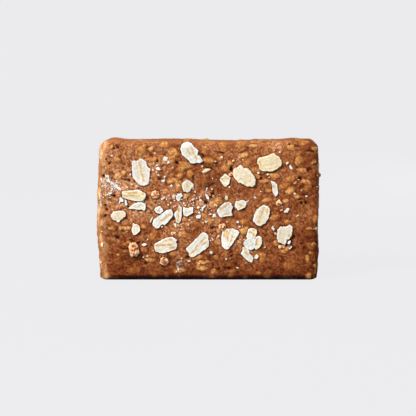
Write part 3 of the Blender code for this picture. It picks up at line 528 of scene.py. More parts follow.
def settle(points):
    """Where points of the true block go in the soft slab, as in the CAD."""
    x, y, z = points.T
    z = np.where(z < BASE_EDGE, (z + PRESSED) * BASE_EDGE / EDGE_RADIUS, z)
    level = 2 * z / HEIGHT - 1
    swell = 1 - level**2
    along = 2 * x / LENGTH
    rise = sum(high * bell(x - at, wide) for at, high, wide in TOP_HUMPS)
    wave = WAVE_HEIGHT * np.sin(math.tau * x / WAVE_ALONG) * np.cos(math.tau * z / WAVE_UP)
    inward = drop = 0
    for end, at, deep, wide in END_DENTS:
        dent = deep * bell(np.hypot(x - end * LENGTH / 2, z - at), wide)
        inward = inward - end * dent
        drop = drop + dent
    hump = HUMP[2] * bell(np.hypot(x - HUMP[0], z - HUMP[1]), HUMP[3]) * (0.5 - y / THICKNESS)
    plump = 1 + 2 * FACE_BULGE * swell * (1 - along**4) / THICKNESS
    return np.stack(
        (
            x * (1 + 2 * END_BULGE * swell / LENGTH) + inward,
            y * plump + wave * np.clip(z / WAVE_STARTS, 0, 1) - hump,
            z * (1 + (rise - drop) / HEIGHT),
        ),
        axis=1,
    )


def unsettled(x, z):
    """Where places on the settled front, as seen, lie on the true block."""
    u, v = x, z
    for _ in range(UNSETTLE_STEPS):
        seen = settle(np.stack((u, np.full(len(u), -THICKNESS / 2), v), axis=1))
        u = u + x - seen[:, 0]
        v = v + z - seen[:, 2]
    return u, v


def on_front(x, z, h):
    """Points h out from the dough's even face, at places on the settled front."""
    u, v = unsettled(x, z)
    fall = edge_fall(u, LENGTH) + edge_fall(v - MIDDLE, BLOCK_HEIGHT)
    return settle(np.stack((u, -THICKNESS / 2 - h + fall, v), axis=1))


def placed(rows):
    """These rows, with the place on the settled front that each starts with moved to the true block."""
    u, v = unsettled(*np.array([row[:2] for row in rows], float).T)
    return [(at, up, *row[2:]) for at, up, row in zip(u, v, rows)]


def side_cells(axis, end, step):
    """The cells on one side of the block: the corners of each, in turn as seen from outside."""
    first, second = (axis + 1) % 3, (axis + 2) % 3
    across = np.arange(0, CELLS[first], step)
    upward = np.arange(0, CELLS[second], step)
    a, b = (grid.ravel() for grid in np.meshgrid(across, upward))
    corners = np.empty((len(a), 4, 3), int)
    corners[:, :, axis] = end
    for turn, (right, up) in enumerate(((0, 0), (1, 0), (1, 1), (0, 1))):
        corners[:, turn, first] = a + right * step
        corners[:, turn, second] = b + up * step
    return corners if end else corners[:, ::-1]


def with_front_middles(ring):
    """Adds a corner in the middle of the edge where a large cell meets the fine front."""
    full = []
    for here, after in zip(ring, ring[1:] + ring[:1]):
        full.append(here)
        if here[1] == 0 and after[1] == 0:
            full.append([(a + b) // 2 for a, b in zip(here, after)])
    return full


def block_mesh():
    """Points on the true block, and the faces between them."""
    rings = side_cells(1, 0, 1).tolist()
    for axis, count in enumerate(CELLS):
        for end in (0, count):
            if (axis, end) != (1, 0):
                rings += [with_front_middles(ring) for ring in side_cells(axis, end, 2).tolist()]
    numbers = {}
    faces = [[numbers.setdefault(tuple(corner), len(numbers)) for corner in ring] for ring in rings]
    places = np.array(list(numbers)) / CELLS
    return (places - 0.5) * (LENGTH, THICKNESS, BLOCK_HEIGHT) + (0, 0, MIDDLE), faces


def round_edges(points):
    """Moves the block's points in to its rounded edges. Also gives the way out of each."""
    low = np.array((-LENGTH / 2, -THICKNESS / 2, -PRESSED)) + EDGE_RADIUS
    high = np.array((LENGTH / 2, THICKNESS / 2, HEIGHT)) - EDGE_RADIUS
    core = np.clip(points, low, high)
    out = points - core
    out /= np.linalg.norm(out, axis=1)[:, None]
    return core + EDGE_RADIUS * out, out


class Side:
    """One side of the block, with places across it given from its middle."""

    def __init__(self, middle, along, up, width, height):
        self.middle = np.array(middle, float)
        self.along = np.array(along, float)
        self.up = np.array(up, float)
        self.out = np.cross(self.along, self.up)
        self.width = width
        self.height = height

    def places(self, points):
        """How far along and up the side these points are."""
        return (points - self.middle) @ self.along, (points - self.middle) @ self.up

    def faced_by(self, out):
        """Which points this side takes in, by their way out."""
        return out @ self.out > 0.3


FRONT = Side((0, -THICKNESS / 2, MIDDLE), (1, 0, 0), (0, 0, 1), LENGTH, BLOCK_HEIGHT)
BACK = Side((0, THICKNESS / 2, MIDDLE), (-1, 0, 0), (0, 0, 1), LENGTH, BLOCK_HEIGHT)
LEFT = Side((-LENGTH / 2, 0, MIDDLE), (0, -1, 0), (0, 0, 1), THICKNESS, BLOCK_HEIGHT)
RIGHT = Side((LENGTH / 2, 0, MIDDLE), (0, 1, 0), (0, 0, 1), THICKNESS, BLOCK_HEIGHT)
TOP = Side((0, 0, HEIGHT), (1, 0, 0), (0, 1, 0), LENGTH, THICKNESS)


# Where the bedded oats are.

def by_rule(side, cell, scatter, lengths, draw):
    """Oats on a side, one in each cell of a grid: place from the middle, length, width and turn."""
    columns = max(1, round(side.width / cell))
    rows = max(1, round(side.height / cell))
    wide, high = side.width / columns, side.height / rows
    for column in range(columns):
        for row in range(rows):
            u = (column + 0.5 + draw.uniform(-1, 1) * scatter) * wide - side.width / 2
            v = (row + 0.5 + draw.uniform(-1, 1) * scatter) * high - side.height / 2
            length = draw.uniform(*lengths)
            width = length * draw.uniform(*BEDDED_SHAPE)
            yield u, v, length, width, draw.uniform(0, math.pi)


def bedded_oats():
    """Each side's bedded oats, faint ones first: place, length, width, turn and how plain each is."""
    main = random.Random(SEED)
    faint = random.Random(SEED + 1)
    plain = random.Random(SEED + 2)
    oats = {side: [] for side in (FRONT, BACK, LEFT, RIGHT, TOP)}
    for side, rows in oats.items():
        low, high = FAINT_SHOW if side is FRONT else OTHER_SHOW
        for row in by_rule(side, FAINT_CELL, FAINT_SCATTER, FAINT_LENGTH, faint):
            rows.append((*row, low + (high - low) * plain.random() ** 2))
    for side in (BACK, LEFT, RIGHT, TOP):
        for row in by_rule(side, BEDDED_CELL, BEDDED_SCATTER, BEDDED_LENGTH, main):
            oats[side].append((*row, plain.uniform(*OTHER_SHOW)))
    for x, z, length, width, turn in placed(BEDDED_IN_FRONT):
        show = plain.uniform(*BEDDED_SHOW)
        oats[FRONT].append((x, z - MIDDLE, length, width, math.radians(turn), show))
    return oats


def turned(u, v, angle):
    """Places turned back by an angle, so that the long side lies level."""
    return u * math.cos(angle) + v * math.sin(angle), v * math.cos(angle) - u * math.sin(angle)


# The dough's relief and colours.

class Surface:
    """What the dough is like at each of many points: its height, colour and roughness."""

    def __init__(self, points, out):
        self.points = points
        self.out = out
        self.height = np.zeros(len(points))
        self.colour = np.tile(DOUGH, (len(points), 1))
        self.roughness = np.full(len(points), DOUGH_ROUGHNESS)

    def tint(self, towards, share, chosen=slice(None)):
        """Moves the colour of all or of the chosen points towards another, by a share for each."""
        self.colour[chosen] = blend(self.colour[chosen], towards, np.clip(share, 0, 1))

    def shade(self, tone):
        """Lightens the colour where the tone is above 0 and darkens and reddens it below."""
        self.colour *= np.exp(tone[:, None] * TONE)

    def hollow(self, chosen, deep, share):
        """Sinks the chosen points, makes them rough, and paints them dark as the shade in the hollow.
        """
        self.height[chosen] -= HOLLOW_DEPTH * deep
        self.roughness[chosen] += HOLLOW_ROUGHNESS * deep
        self.tint(HOLLOW_SHADE, share, chosen)

    def settled(self):
        """The points as moved out by their height, on the settled slab."""
        return settle(self.points + self.out * self.height[:, None])

    def near(self, side, u, v, reach):
        """The points of a side within reach of a place, and their places from it."""
        chosen = np.flatnonzero(side.faced_by(self.out))
        across, upward = side.places(self.points[chosen])
        close = (np.abs(across - u) < reach) & (np.abs(upward - v) < reach)
        return chosen[close], across[close] - u, upward[close] - v


def knead(surface):
    """The dough's lumps, grains, cracks, pores and patches: its own tone, with painted shade in its
    cracks, pores and hollows and painted light on its bumps.
    """
    points = surface.points
    warped = points + 0.8 * np.stack([layered(points, 2.5, seed, 2) for seed in (3, 5, 7)], axis=1)
    lumps = layered(points, 8, 1, 2)
    middling = layered(warped, 3.2, 21, 2)
    small = layered(warped, 1.5, 23, 2)
    in_front = smooth(-surface.out[:, 1], 0.2, 0.7)
    fine = layered(points, 0.8, 25, 2) * (0.1 + 0.9 * in_front)
    crack = bell(noise(warped, 3.4, 27), 0.08) * smooth(noise(points, 5, 29), -0.1, 0.4)
    surface.height += 0.3 * lumps + 0.22 * middling + 0.12 * small + 0.08 * fine - 0.22 * crack
    broad = layered(points, 16, 31, 2)
    patches = layered(warped, 6, 37, 2)
    grit = np.minimum(noise(points, 0.5, 39), 0.4) * in_front
    # The middling, small and fine noise also shape the relief, so the dough is painted darker in its
    # hollows and paler on its bumps: painted shade and light. The broad, patch and grit noise are the
    # dough's own tone.
    surface.shade(0.68 * broad + 0.5 * patches + 0.12 * middling + 0.05 * small)
    surface.shade(0.28 * fine + 0.8 * grit + 0.02)
    speck_gap, speck_tag = scattered(points, 1.7, 43)
    surface.tint(GOLD_PALE, 0.6 * bell(speck_gap, 0.3) * smooth(speck_tag, 0.55, 0.75))
    # The cracks are sunk and painted dark: painted shade in them.
    surface.tint(DOUGH_DEEP, 0.75 * crack)
    # The pores are sunk and painted near black: painted shade in them.
    pore_gap, pore_tag = scattered(points, 2.8, 41)
    pore = bell(pore_gap, 0.35 + 0.3 * pore_tag) * smooth(pore_tag, 0.4, 0.6)
    surface.height -= 0.5 * pore
    surface.tint(HOLLOW_SHADE, 0.85 * pore)
    surface.roughness += 0.1 * fine


def bake_and_painted_light(surface):
    """The bake and painted light: paler on top and at the left end, darker low down and towards the
    right end, with a painted shadow along the foot.
    """
    points, out = surface.points, surface.out
    x, z = points[:, 0], points[:, 2]
    wave = layered(points, 6, 35, 2)
    # Paler on top: partly the bake, partly painted light from above.
    surface.tint(DOUGH_PALE, 0.35 * smooth(out[:, 2], 0.2, 0.9))
    # Darker towards the foot and near black in the lowest few millimetres, all round: painted contact
    # shadow where the bar meets the floor.
    surface.shade(-0.4 * smooth(z + wave, 8, 2) - 2.6 * smooth(z + 0.4 * wave, 3, 1.4))
    # The left end is golden and paler, with dark slits between pale streaks: partly its crust, partly
    # painted light from the key light on the left.
    left_edge = smooth(-x + 2 * wave, 43.8, 47.8) * smooth(out[:, 1], 0.6, -0.2)
    surface.tint(GOLD, 0.4 * left_edge)
    streaks = layered(points * (1, 1, 0.5), 1.6, 45, 2)
    paler = left_edge * smooth(out[:, 1], 0, -0.6)
    surface.tint(CRUST, paler * (0.15 + 0.7 * smooth(streaks, -0.2, 0.4)))
    surface.tint(DOUGH_DEEP, 0.6 * paler * smooth(streaks, -0.3, -0.6))
    # Darker towards the right end and low down: partly a browner bake, partly painted shade where the
    # light from the upper left falls off. A little darker high up: painted shade that tempers the light
    # from above.
    far_end = smooth(x + 6 * wave, 22, 50)
    low_down = smooth(z + 4 * wave, 22, 2)
    high_up = smooth(z + 4 * wave, 42, 58)
    surface.shade(-0.37 * far_end - 0.2 * low_down - 0.05 * high_up)
    # The last few millimetres of the right end are darker still: painted shade where the end turns away
    # from the light.
    surface.shade(-0.25 * smooth(x + wave, 44, 47.5))
    surface.tint(GOLD, 0.4 * smooth(out[:, 0], 0.2, 0.6) * smooth(streaks, 0, 0.4))
    surface.height *= 1 - 0.5 * smooth(out[:, 2], 0.3, 0.9)


def bed_oats(surface):
    """Rolled oats that lie in the dough with their tops bare."""
    wobble = layered(surface.points, 2.2, 51, 2)
    streaks = layered(surface.points, 0.9, 57, 2)
    for side, oats in bedded_oats().items():
        for u, v, length, width, turn, show in oats:
            chosen, across, upward = surface.near(side, u, v, 1.2 * length)
            a, b = turned(across, upward, turn)
            reach = np.hypot(2 * a / length, 2 * b / width) * (1 + 0.7 * wobble[chosen])
            inside = smooth(reach, 1.5, 0.65)
            groove = bell(reach - 1.55, 0.2)
            rise = BEDDED_RISE * inside * (1.1 - 0.4 * reach) - 0.15 * groove
            surface.height[chosen] += show * rise
            tone = blend(GOLD, GOLD_PALE, np.clip(show - 0.55 + 1.4 * streaks[chosen], 0, 1))
            share = show * inside * (0.85 + 0.6 * streaks[chosen])
            surface.tint(tone, share, chosen)
            # The groove round each oat is sunk and painted dark: painted shade in the groove.
            surface.tint(DOUGH_DEEP, 0.65 * show * groove, chosen)


def open_pits(surface):
    """The holes and crevices, with painted shade in them."""
    wobble = layered(surface.points, 1.1, 55, 2)
    for x, z, length, width in placed(PITS):
        chosen, across, upward = surface.near(FRONT, x, z - MIDDLE, length + 1)
        reach = np.hypot(across / length, upward / width) * (1 + 0.9 * wobble[chosen])
        deep = smooth(reach, 0.95, 0.3)
        surface.hollow(chosen, deep, deep * min(1, 0.35 + 0.7 * width))
    for x, z, length, width, turn in placed(CREVICES):
        chosen, across, upward = surface.near(FRONT, x, z - MIDDLE, length + 1)
        a, b = turned(across, upward, math.radians(turn))
        b += 0.05 * a**2 + 0.4 * wobble[chosen]
        along = smooth(np.abs(2 * a / length), 1.1, 0.5)
        deep = bell(b, 0.15 + 0.45 * width) * along
        lip = bell(b + 0.4 + width, 0.5) * along
        surface.height[chosen] += 0.25 * lip
        surface.tint(DOUGH_PALE, 0.4 * lip, chosen)
        surface.hollow(chosen, deep, 0.8 * deep)


def bare_fruit(surface):
    """Fruit that shows bare in the front: dark, smooth and glassy, with a broken pale rim and a faint
    inner ring painted on as its highlights.

    The one under the hump only darkens the dough over it.
    """
    wobble = layered(surface.points, 1.6, 59, 2)
    chosen, across, upward = surface.near(FRONT, HUMP[0], HUMP[1] - MIDDLE, 2 * HUMP[3])
    reach = np.hypot(across, upward) * (1 + 0.3 * wobble[chosen]) / HUMP[3]
    surface.tint(DOUGH_DEEP, 0.3 * smooth(reach, 1.2, 0.9), chosen)
    for x, z, length, width in placed(FRUITS):
        chosen, across, upward = surface.near(FRONT, x, z - MIDDLE, length + 1)
        reach = np.hypot(2 * across / length, 2 * upward / width)
        inside = smooth(reach, 1.15, 0.85)
        surface.height[chosen] += inside * (0.2 - 0.2 * reach) - 0.15 * bell(reach - 1.15, 0.15)
        surface.tint(FRUIT, 0.65 * inside, chosen)
        # Painted highlight: pale rings that stand in for the glassy fruit's reflections.
        rim = bell(reach - 0.85, 0.14) + 0.4 * bell(reach - 0.25, 0.12)
        surface.tint(PAINTED_HIGHLIGHT, np.minimum(rim * (0.5 + wobble[chosen]), 0.9), chosen)
        surface.roughness[chosen] -= 0.2 * inside


def press_flakes(surface):
    """The dough gives way under each flake and crumb, and has a painted shadow close round it."""
    for x, z, flake in placed([(*np.mean(flake.rim, axis=0), flake) for flake in FLAKES]):
        rim = outline_of(flake)[1]
        chosen, across, upward = surface.near(FRONT, x, z - MIDDLE, rim.max() + 1.5)
        spoke = np.arctan2(upward, across) % math.tau * FLAKE_SPOKES / math.tau
        edge = np.interp(spoke, np.arange(FLAKE_SPOKES + 1), np.append(rim, rim[0]))
        press_with_painted_shadow(surface, chosen, across, upward, np.hypot(across, upward) - edge, FLAKE_PRESS)
    for x, z, length, width, turn, _ in placed(CRUMBS):
        chosen, across, upward = surface.near(FRONT, x, z - MIDDLE, length)
        a, b = turned(across, upward, math.radians(turn))
        reach = np.hypot(2 * a / length, 2 * b / width)
        press_with_painted_shadow(surface, chosen, across, upward, (reach - 1) * width / 2, CRUMB_PRESS)


def press_with_painted_shadow(surface, chosen, across, upward, past, depth):
    """Presses the chosen points down, by how far they are past the edge of what lies on them.

    A painted shadow darkens the dough close round it, most at its lower right, away from the light.
    """
    under = smooth(past, 0.5, -0.2)
    surface.height[chosen] = surface.height[chosen] * (1 - under) - depth * under
    # Painted shadow: strongest on the side away from the light at the upper left.
    away = (0.8 * across - 0.6 * upward) / np.maximum(np.hypot(across, upward), 0.1)
    share = (0.35 + 0.45 * smooth(away, -0.3, 0.7)) * smooth(past, 0.9, 0.1)
    surface.tint(DOUGH_DEEP, share, chosen)


def dough_surface(points):
    """The dough at these points of the block. It is flat and even where it rests."""
    surface = Surface(*round_edges(points))
    knead(surface)
    bake_and_painted_light(surface)
    bed_oats(surface)
    open_pits(surface)
    bare_fruit(surface)
    press_flakes(surface)
    surface.height *= smooth(surface.points[:, 2], 0.1, BASE_FADE)
    return surface


def dough_in_front(rows):
    """The dough where these rows are on the front. Each starts with its place on the true block."""
    return dough_surface(np.array([(x, -THICKNESS / 2, z) for x, z, *_ in rows]))


# Making meshes.

def in_scene(name, data):
    """A new object of this data, put in the scene."""
    made = bpy.data.objects.new(name, data)
    bpy.context.scene.collection.objects.link(made)
    return made


def add_mesh(name, points, faces, colours, roughness, material):
    """A piece from points in millimetres, with a colour and a roughness at each."""
    mesh = bpy.data.meshes.new(name)
    mesh.from_pydata((np.asarray(points) * MM).tolist(), [], faces)
    tint = mesh.attributes.new("tint", "FLOAT_COLOR", "POINT")
    tint.data.foreach_set("color", np.c_[np.clip(colours, 0, 1), np.ones(len(points))].ravel())
    rough = mesh.attributes.new("rough", "FLOAT", "POINT")
    rough.data.foreach_set("value", np.full(len(points), roughness))
    mesh.polygons.foreach_set("use_smooth", np.ones(len(mesh.polygons), bool))
    mesh.materials.append(material)
    piece = in_scene(name, mesh)
    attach(piece, "root")
    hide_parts("oat_bar")


class Heap:
    """Many small shapes gathered into one mesh."""

    def __init__(self):
        self.points = []
        self.faces = []
        self.colours = []
        self.count = 0

    def add(self, points, faces, colours):
        """Adds one shape, with a colour at each point."""
        self.points.append(points)
        self.colours.append(colours)
        self.faces += [[corner + self.count for corner in face] for face in faces]
        self.count += len(points)

    def finish(self, name, roughness, material):
        """Makes the piece."""
        points, colours = np.concatenate(self.points), np.concatenate(self.colours)
        add_mesh(name, points, self.faces, colours, roughness, material)


def disc(rim, rings, under):
    """A closed thin disc, from how far out its rim is at even angles.

    Gives, for each point, the angle, the share of the way to the rim, the reach and the level: 0 on
    top, 1 and more below. Then the faces.
    """
    spokes = len(rim)
    angles = np.arange(spokes) * math.tau / spokes
    shares = np.array(rings + under)
    share = np.concatenate(([0], np.repeat(shares, spokes), [0]))
    angle = np.concatenate(([0], np.tile(angles, len(shares)), [0]))
    reach = np.concatenate(([0], np.tile(rim, len(shares)), [0])) * share
    level = np.repeat([0] * len(rings) + list(range(1, len(under) + 1)), spokes)
    level = np.concatenate(([0], level, [len(under)]))
    return angle, share, reach, level, disc_faces(spokes, len(shares))


def disc_faces(spokes, rings):
    """Faces of a closed disc: from a middle point out by rings, back inward and to a last point."""
    faces = []
    for spoke in range(spokes):
        after = (spoke + 1) % spokes
        faces.append([0, 1 + spoke, 1 + after])
        for ring in range(rings - 1):
            start = 1 + ring * spokes
            outer = start + spokes
            faces.append([start + spoke, outer + spoke, outer + after, start + after])
        start = 1 + (rings - 1) * spokes
        faces.append([start + spoke, start + spokes, start + after])
    return faces


def rim_through(ends, angles):
    """How far out from 0, 0 the straight lines through these places are, at each angle."""
    rim = np.full(len(angles), 99.0)
    for (x, y), (x_after, y_after) in zip(ends, [*ends[1:], ends[0]]):
        across = (y_after - y, x - x_after)
        toward = across[0] * np.cos(angles) + across[1] * np.sin(angles)
        away = (across[0] * x + across[1] * y) / np.where(np.abs(toward) < 1e-6, 1e-6, toward)
        met = away[:, None] * np.stack((np.cos(angles), np.sin(angles)), axis=1)
        share = (met - (x, y)) @ (x_after - x, y_after - y) / ((x_after - x) ** 2 + (y_after - y) ** 2)
        rim = np.where((away > 0) & (away < rim) & (share > -0.01) & (share < 1.01), away, rim)
    return rim


def outline_of(flake):
    """The middle of a flake, and how far out its rim is at even angles."""
    corners = np.array(flake.rim, float)
    middle = corners.mean(axis=0)
    angles = np.arange(FLAKE_SPOKES) * math.tau / FLAKE_SPOKES
    rim = rim_through(list(corners - middle), angles)
    rim = np.minimum(rim, np.hypot(*(corners - middle).T).max())
    return middle, (np.roll(rim, 1) + 4 * rim + np.roll(rim, -1)) / 6


def crease_share(along, upward, flake):
    """How far each point of a flake is in one of its creases: from 0 to 1."""
    total = np.zeros(len(along))
    wobble = 0.15 * np.sin(1.9 * along + 2.3 * upward)
    for x, z, x_after, z_after in flake.creases:
        run = np.array((x_after - x, z_after - z))
        share = np.clip(((along - x) * run[0] + (upward - z) * run[1]) / (run @ run), 0, 1)
        gap = np.hypot(along - x - share * run[0], upward - z - share * run[1])
        total = np.maximum(total, bell(gap + wobble, CREASE_WIDTH))
    return total


def ragged(rim, draw):
    """A flake's rim with waves and nicks."""
    waves = [(count, draw.uniform(0.008, 0.02), draw.uniform(0, math.tau)) for count in (9, 14, 23)]
    spokes = np.arange(FLAKE_SPOKES) * math.tau / FLAKE_SPOKES
    wavy = rim * (1 + sum(size * np.sin(count * spokes + start) for count, size, start in waves))
    return wavy * [draw.uniform(0.97, 1.02) for _ in rim]


def flake_colours(white, brightness_and_painted_light, from_rim, creases, streaks, stain, grain):
    """Cream to white, with tan creases and streaks and a pale rim."""
    pale_rim = smooth(from_rim + 0.25 * stain, 0.8, 0.3)
    share = white + 0.4 * stain + 0.3 * streaks + 0.3 * pale_rim
    colours = blend(CREAM, WHITE, np.clip(share, 0, 1))
    colours = blend(colours, TAN, creases * np.clip(0.9 + 0.8 * streaks, 0, 1))
    colours = blend(colours, TAN, 0.45 * smooth(streaks + stain, 0.25, 0.7) * (1 - pale_rim))
    return colours * (brightness_and_painted_light + 0.15 * pale_rim + 0.2 * grain + 0.24 * streaks)[:, None]


def add_flake(heap, flake, number):
    """A rolled oat: a thin flat flake with creases, fine streaks along it and an uneven rim.

    Flakes low on the front are painted a little brighter, as painted light where the light is dimmer,
    and their undersides and walls are tan, partly painted shade.
    """
    draw = random.Random(SEED + number)
    middle, rim = outline_of(flake)
    rim = ragged(rim, draw)
    angle, share, reach, level, faces = disc(rim, FLAKE_RINGS, FLAKE_UNDER)
    u, v = reach * np.cos(angle), reach * np.sin(angle)
    a, b = turned(u, v, math.radians(flake.turn))
    own = np.stack((a, b, np.full(len(a), 17.0 * number)), axis=1)
    creases = crease_share(middle[0] + u, middle[1] + v, flake)
    streaks = layered(own * (0.3, 3.0, 1), 1.4, 61, 2)
    stain = layered(own * (0.7, 1, 1), 2.2, 71, 2)
    grain = noise(own, 0.7, 75)
    lean = draw.uniform(0, math.tau)
    slope = u * math.cos(lean) + v * math.sin(lean)
    size = np.median(rim)
    curl = draw.uniform(0.05, 0.2) * np.clip(slope / size, 0, 1.6) ** 2
    rise = FLAKE_RISE * min(1, 0.5 + size / 6)
    top = rise + draw.uniform(0, 0.03) * slope + curl
    top += 0.06 * noise(own, 3.2, 67) + 0.05 * streaks - 0.16 * creases
    top -= 0.1 * smooth(share, 0.97, 1.0)
    height = np.where(level > 0, np.minimum(top - FLAKE_THICKNESS, rise), top)
    height = np.where(level == 1, top - FLAKE_THICKNESS / 2, height)
    from_rim = reach / np.maximum(share, 0.01) * (1 - share)
    # Painted light: flakes low on the front are made a little brighter, where the light is dimmer.
    brightness_and_painted_light = 0.97 + 0.05 * smooth(middle[1], 31, 20)
    colours = flake_colours(flake.white, brightness_and_painted_light, from_rim, creases, streaks, stain, grain)
    # Walls and underside are tan: partly the oat's colour, partly painted shade on its shaded sides.
    colours = blend(colours, TAN, 0.6 * (level > 0))
    heap.add(on_front(middle[0] + u, middle[1] + v, height), faces, colours)


def corner_rim(draw):
    """The outline of a broken bit with a few corners, in a circle of radius 1."""
    corners = draw.randint(4, 6)
    step = math.tau / corners
    turns = [(corner + draw.uniform(-0.35, 0.35)) * step for corner in range(corners)]
    reaches = [draw.uniform(0.75, 1.3) for _ in turns]
    ends = [(reach * math.cos(turn), reach * math.sin(turn)) for turn, reach in zip(turns, reaches)]
    angles = np.arange(CHIP_SPOKES) * math.tau / CHIP_SPOKES
    return np.clip(rim_through(ends, angles), 0.3, 1.3) * [draw.uniform(0.93, 1.05) for _ in angles]


def add_chip(heap, row, level_here, number):
    """A broken bit of flake."""
    x, z, length, width, turn = row
    draw = random.Random(SEED * 31 + number)
    angle, share, reach, level, faces = disc(corner_rim(draw), CHIP_RINGS, CHIP_UNDER)
    a = reach * np.cos(angle) * length * CHIP_SPREAD / 2
    b = reach * np.sin(angle) * width * CHIP_SPREAD / 2
    own = np.stack((a, b, np.full(len(a), 19.0 * number)), axis=1)
    rise = min(0.7, 0.3 + 0.2 * width)
    lean = draw.uniform(0, math.tau)
    tilt = draw.uniform(0, 0.25) * (a * math.cos(lean) + b * math.sin(lean))
    top = rise + tilt + 0.08 * noise(own, 0.9, 73) - 0.06 * smooth(share, 0.9, 1)
    height = level_here + np.where(level > 0, np.minimum(top - 0.25 * level, 0.1), top)
    u, v = turned(a, b, -math.radians(turn))
    white = draw.choice((1, 0.9, 0.7, 0.4, 0.1)) + 0.3 * noise(own, 0.8, 77)
    colours = 1.08 * blend(CREAM, WHITE, np.clip(white, 0, 1))
    heap.add(on_front(x + u, z + v, height), faces, colours)


def ball(steps):
    """Points and faces of a unit ball of even triangles."""
    bpy.ops.mesh.primitive_ico_sphere_add(subdivisions=steps, radius=1)
    made = bpy.context.object
    points = np.array([vertex.co[:] for vertex in made.data.vertices])
    faces = [list(face.vertices) for face in made.data.polygons]
    bpy.data.objects.remove(made)
    return points, faces


def add_crumb(heap, row, level_here, number, unit, faces):
    """A porous lump of baked crumb, sunk by half, with painted light on its bumps and painted shade in
    its hollows and pores.
    """
    x, z, length, width, turn, golden = row
    size = math.sqrt(length * width)
    draw = random.Random(SEED * 37 + number)
    half = np.array((length / 2, width / 2))
    pore = np.zeros(len(unit))
    for _ in range(round(2.2 * size)):
        way, out = draw.uniform(0, math.tau), math.sqrt(draw.uniform(0, 0.6))
        wide = draw.uniform(0.05, 0.11) * size + 0.08
        middle = out * np.array((math.cos(way), math.sin(way)))
        gap = np.linalg.norm((unit[:, :2] - middle) * half, axis=1)
        pore = np.maximum(pore, bell(gap, wide))
    shift = np.array((9.0 * number, 3.0, 5.0))
    rough = layered(unit * size / 2 + shift, 1.0, 87, 2)
    grain = noise(unit * size / 2 + shift, 0.45, 89)
    shape = unit * (1 + 0.4 * rough + 0.12 * grain - 0.25 * pore)[:, None]
    u, v = turned(*(shape[:, :2] * half).T, -math.radians(turn))
    height = level_here + 0.15 * width + shape[:, 2] * width * 0.34
    # Painted light and shade: paler where the lump bulges, dark in its pores and hollows.
    light = 0.9 * rough + 0.5 * grain
    dark = 1.5 * pore + 0.7 * smooth(light, -0.2, -0.7)
    colours = blend(SPICE, SPICE_PALE, smooth(light, -0.1, 0.35))
    colours = blend(colours, GOLD, 0.9 * golden)
    colours = blend(colours, SPICE_SHADE, np.clip(dark, 0, 0.95))
    heap.add(on_front(x + u, z + v, height), faces, colours)


def add_grain(heap, place, way_out, size, draw, unit, faces):
    """A grain of flour."""
    shape = unit * [size * draw.uniform(0.6, 1.3) for _ in range(3)]
    spin = Matrix.Rotation(draw.uniform(0, math.tau), 3, Vector((draw.random(), draw.random(), 1)))
    points = place + way_out * size * 0.4 + shape @ np.array(spin)
    tone = blend(CREAM, FLOUR, draw.uniform(0.7, 1))
    heap.add(points, faces, np.tile(tone, (len(unit), 1)))


# Materials.

def add_node(nodes, kind, **values):
    """A new node, with values for its inputs given by their names, with _ for a space."""
    node = nodes.new("ShaderNode" + kind)
    for name, value in values.items():
        node.inputs[name.replace("_", " ")].default_value = value
    return node


def add_material(name, speck_size, speck_depth, bump, subsurface, radius):
    """A surface coloured by its points, with fine specks and bumps of its own.

    The specks' size and the bumps' height are in millimetres, and so is how far each of red, green
    and blue goes below the surface, for the share of the light that does.
    """
    material = bpy.data.materials.new(name)
    material.use_nodes = True
    nodes, links = material.node_tree.nodes, material.node_tree.links
    shader = nodes["Principled BSDF"]
    place = add_node(nodes, "TexCoord")
    tint = add_node(nodes, "Attribute")
    tint.attribute_name = "tint"
    rough = add_node(nodes, "Attribute")
    rough.attribute_name = "rough"
    specks = add_node(nodes, "TexNoise", Scale=1 / (speck_size * MM), Detail=3, Roughness=0.75)
    share = add_node(nodes, "MapRange", From_Min=0.3, From_Max=0.7)
    dark, light = ((*(1 + side * speck_depth * TONE), 1) for side in (-1, 1))
    shade = add_node(nodes, "MixRGB", Color1=dark, Color2=light)
    mixed = add_node(nodes, "VectorMath")
    mixed.operation = "MULTIPLY"
    dents = add_node(nodes, "Bump", Strength=1, Distance=bump * MM)
    for giver, output, taker, taken in (
        (place, "Object", specks, "Vector"),
        (specks, "Fac", share, "Value"),
        (share, "Result", shade, "Fac"),
        (tint, "Color", mixed, 0),
        (shade, "Color", mixed, 1),
        (mixed, "Vector", shader, "Base Color"),
        (rough, "Fac", shader, "Roughness"),
        (specks, "Fac", dents, "Height"),
        (dents, "Normal", shader, "Normal"),
    ):
        links.new(giver.outputs[output], taker.inputs[taken])
    shader.inputs["Subsurface Weight"].default_value = subsurface
    shader.inputs["Subsurface Radius"].default_value = radius
    shader.inputs["Subsurface Scale"].default_value = MM
    shader.inputs["Specular IOR Level"].default_value = SPECULAR
    return material


# The bar's pieces.

def add_dough():
    """The bar's body."""
    points, faces = block_mesh()
    surface = dough_surface(points)
    material = add_material("dough", 0.45, 0.4, 0.3, 0.06, (1.4, 0.6, 0.25))
    add_mesh("dough", surface.settled(), faces, surface.colour, surface.roughness, material)


def dough_level(rows):
    """How high the dough stands at each row's place as seen on the front, but for deep holes."""
    return np.clip(dough_in_front(placed(rows)).height, *LEVEL_RANGE)


def add_flakes():
    """The pale flakes and the chips."""
    flakes = Heap()
    for number, flake in enumerate(FLAKES):
        add_flake(flakes, flake, number)
    material = add_material("oat_flake", 0.4, 0.05, 0.08, 0.1, (0.8, 0.55, 0.35))
    flakes.finish("oat_flakes", FLAKE_ROUGHNESS, material)
    chips = Heap()
    for number, (row, level) in enumerate(zip(CHIPS, dough_level(CHIPS))):
        add_chip(chips, row, level, number)
    chips.finish("oat_chips", FLAKE_ROUGHNESS, material)


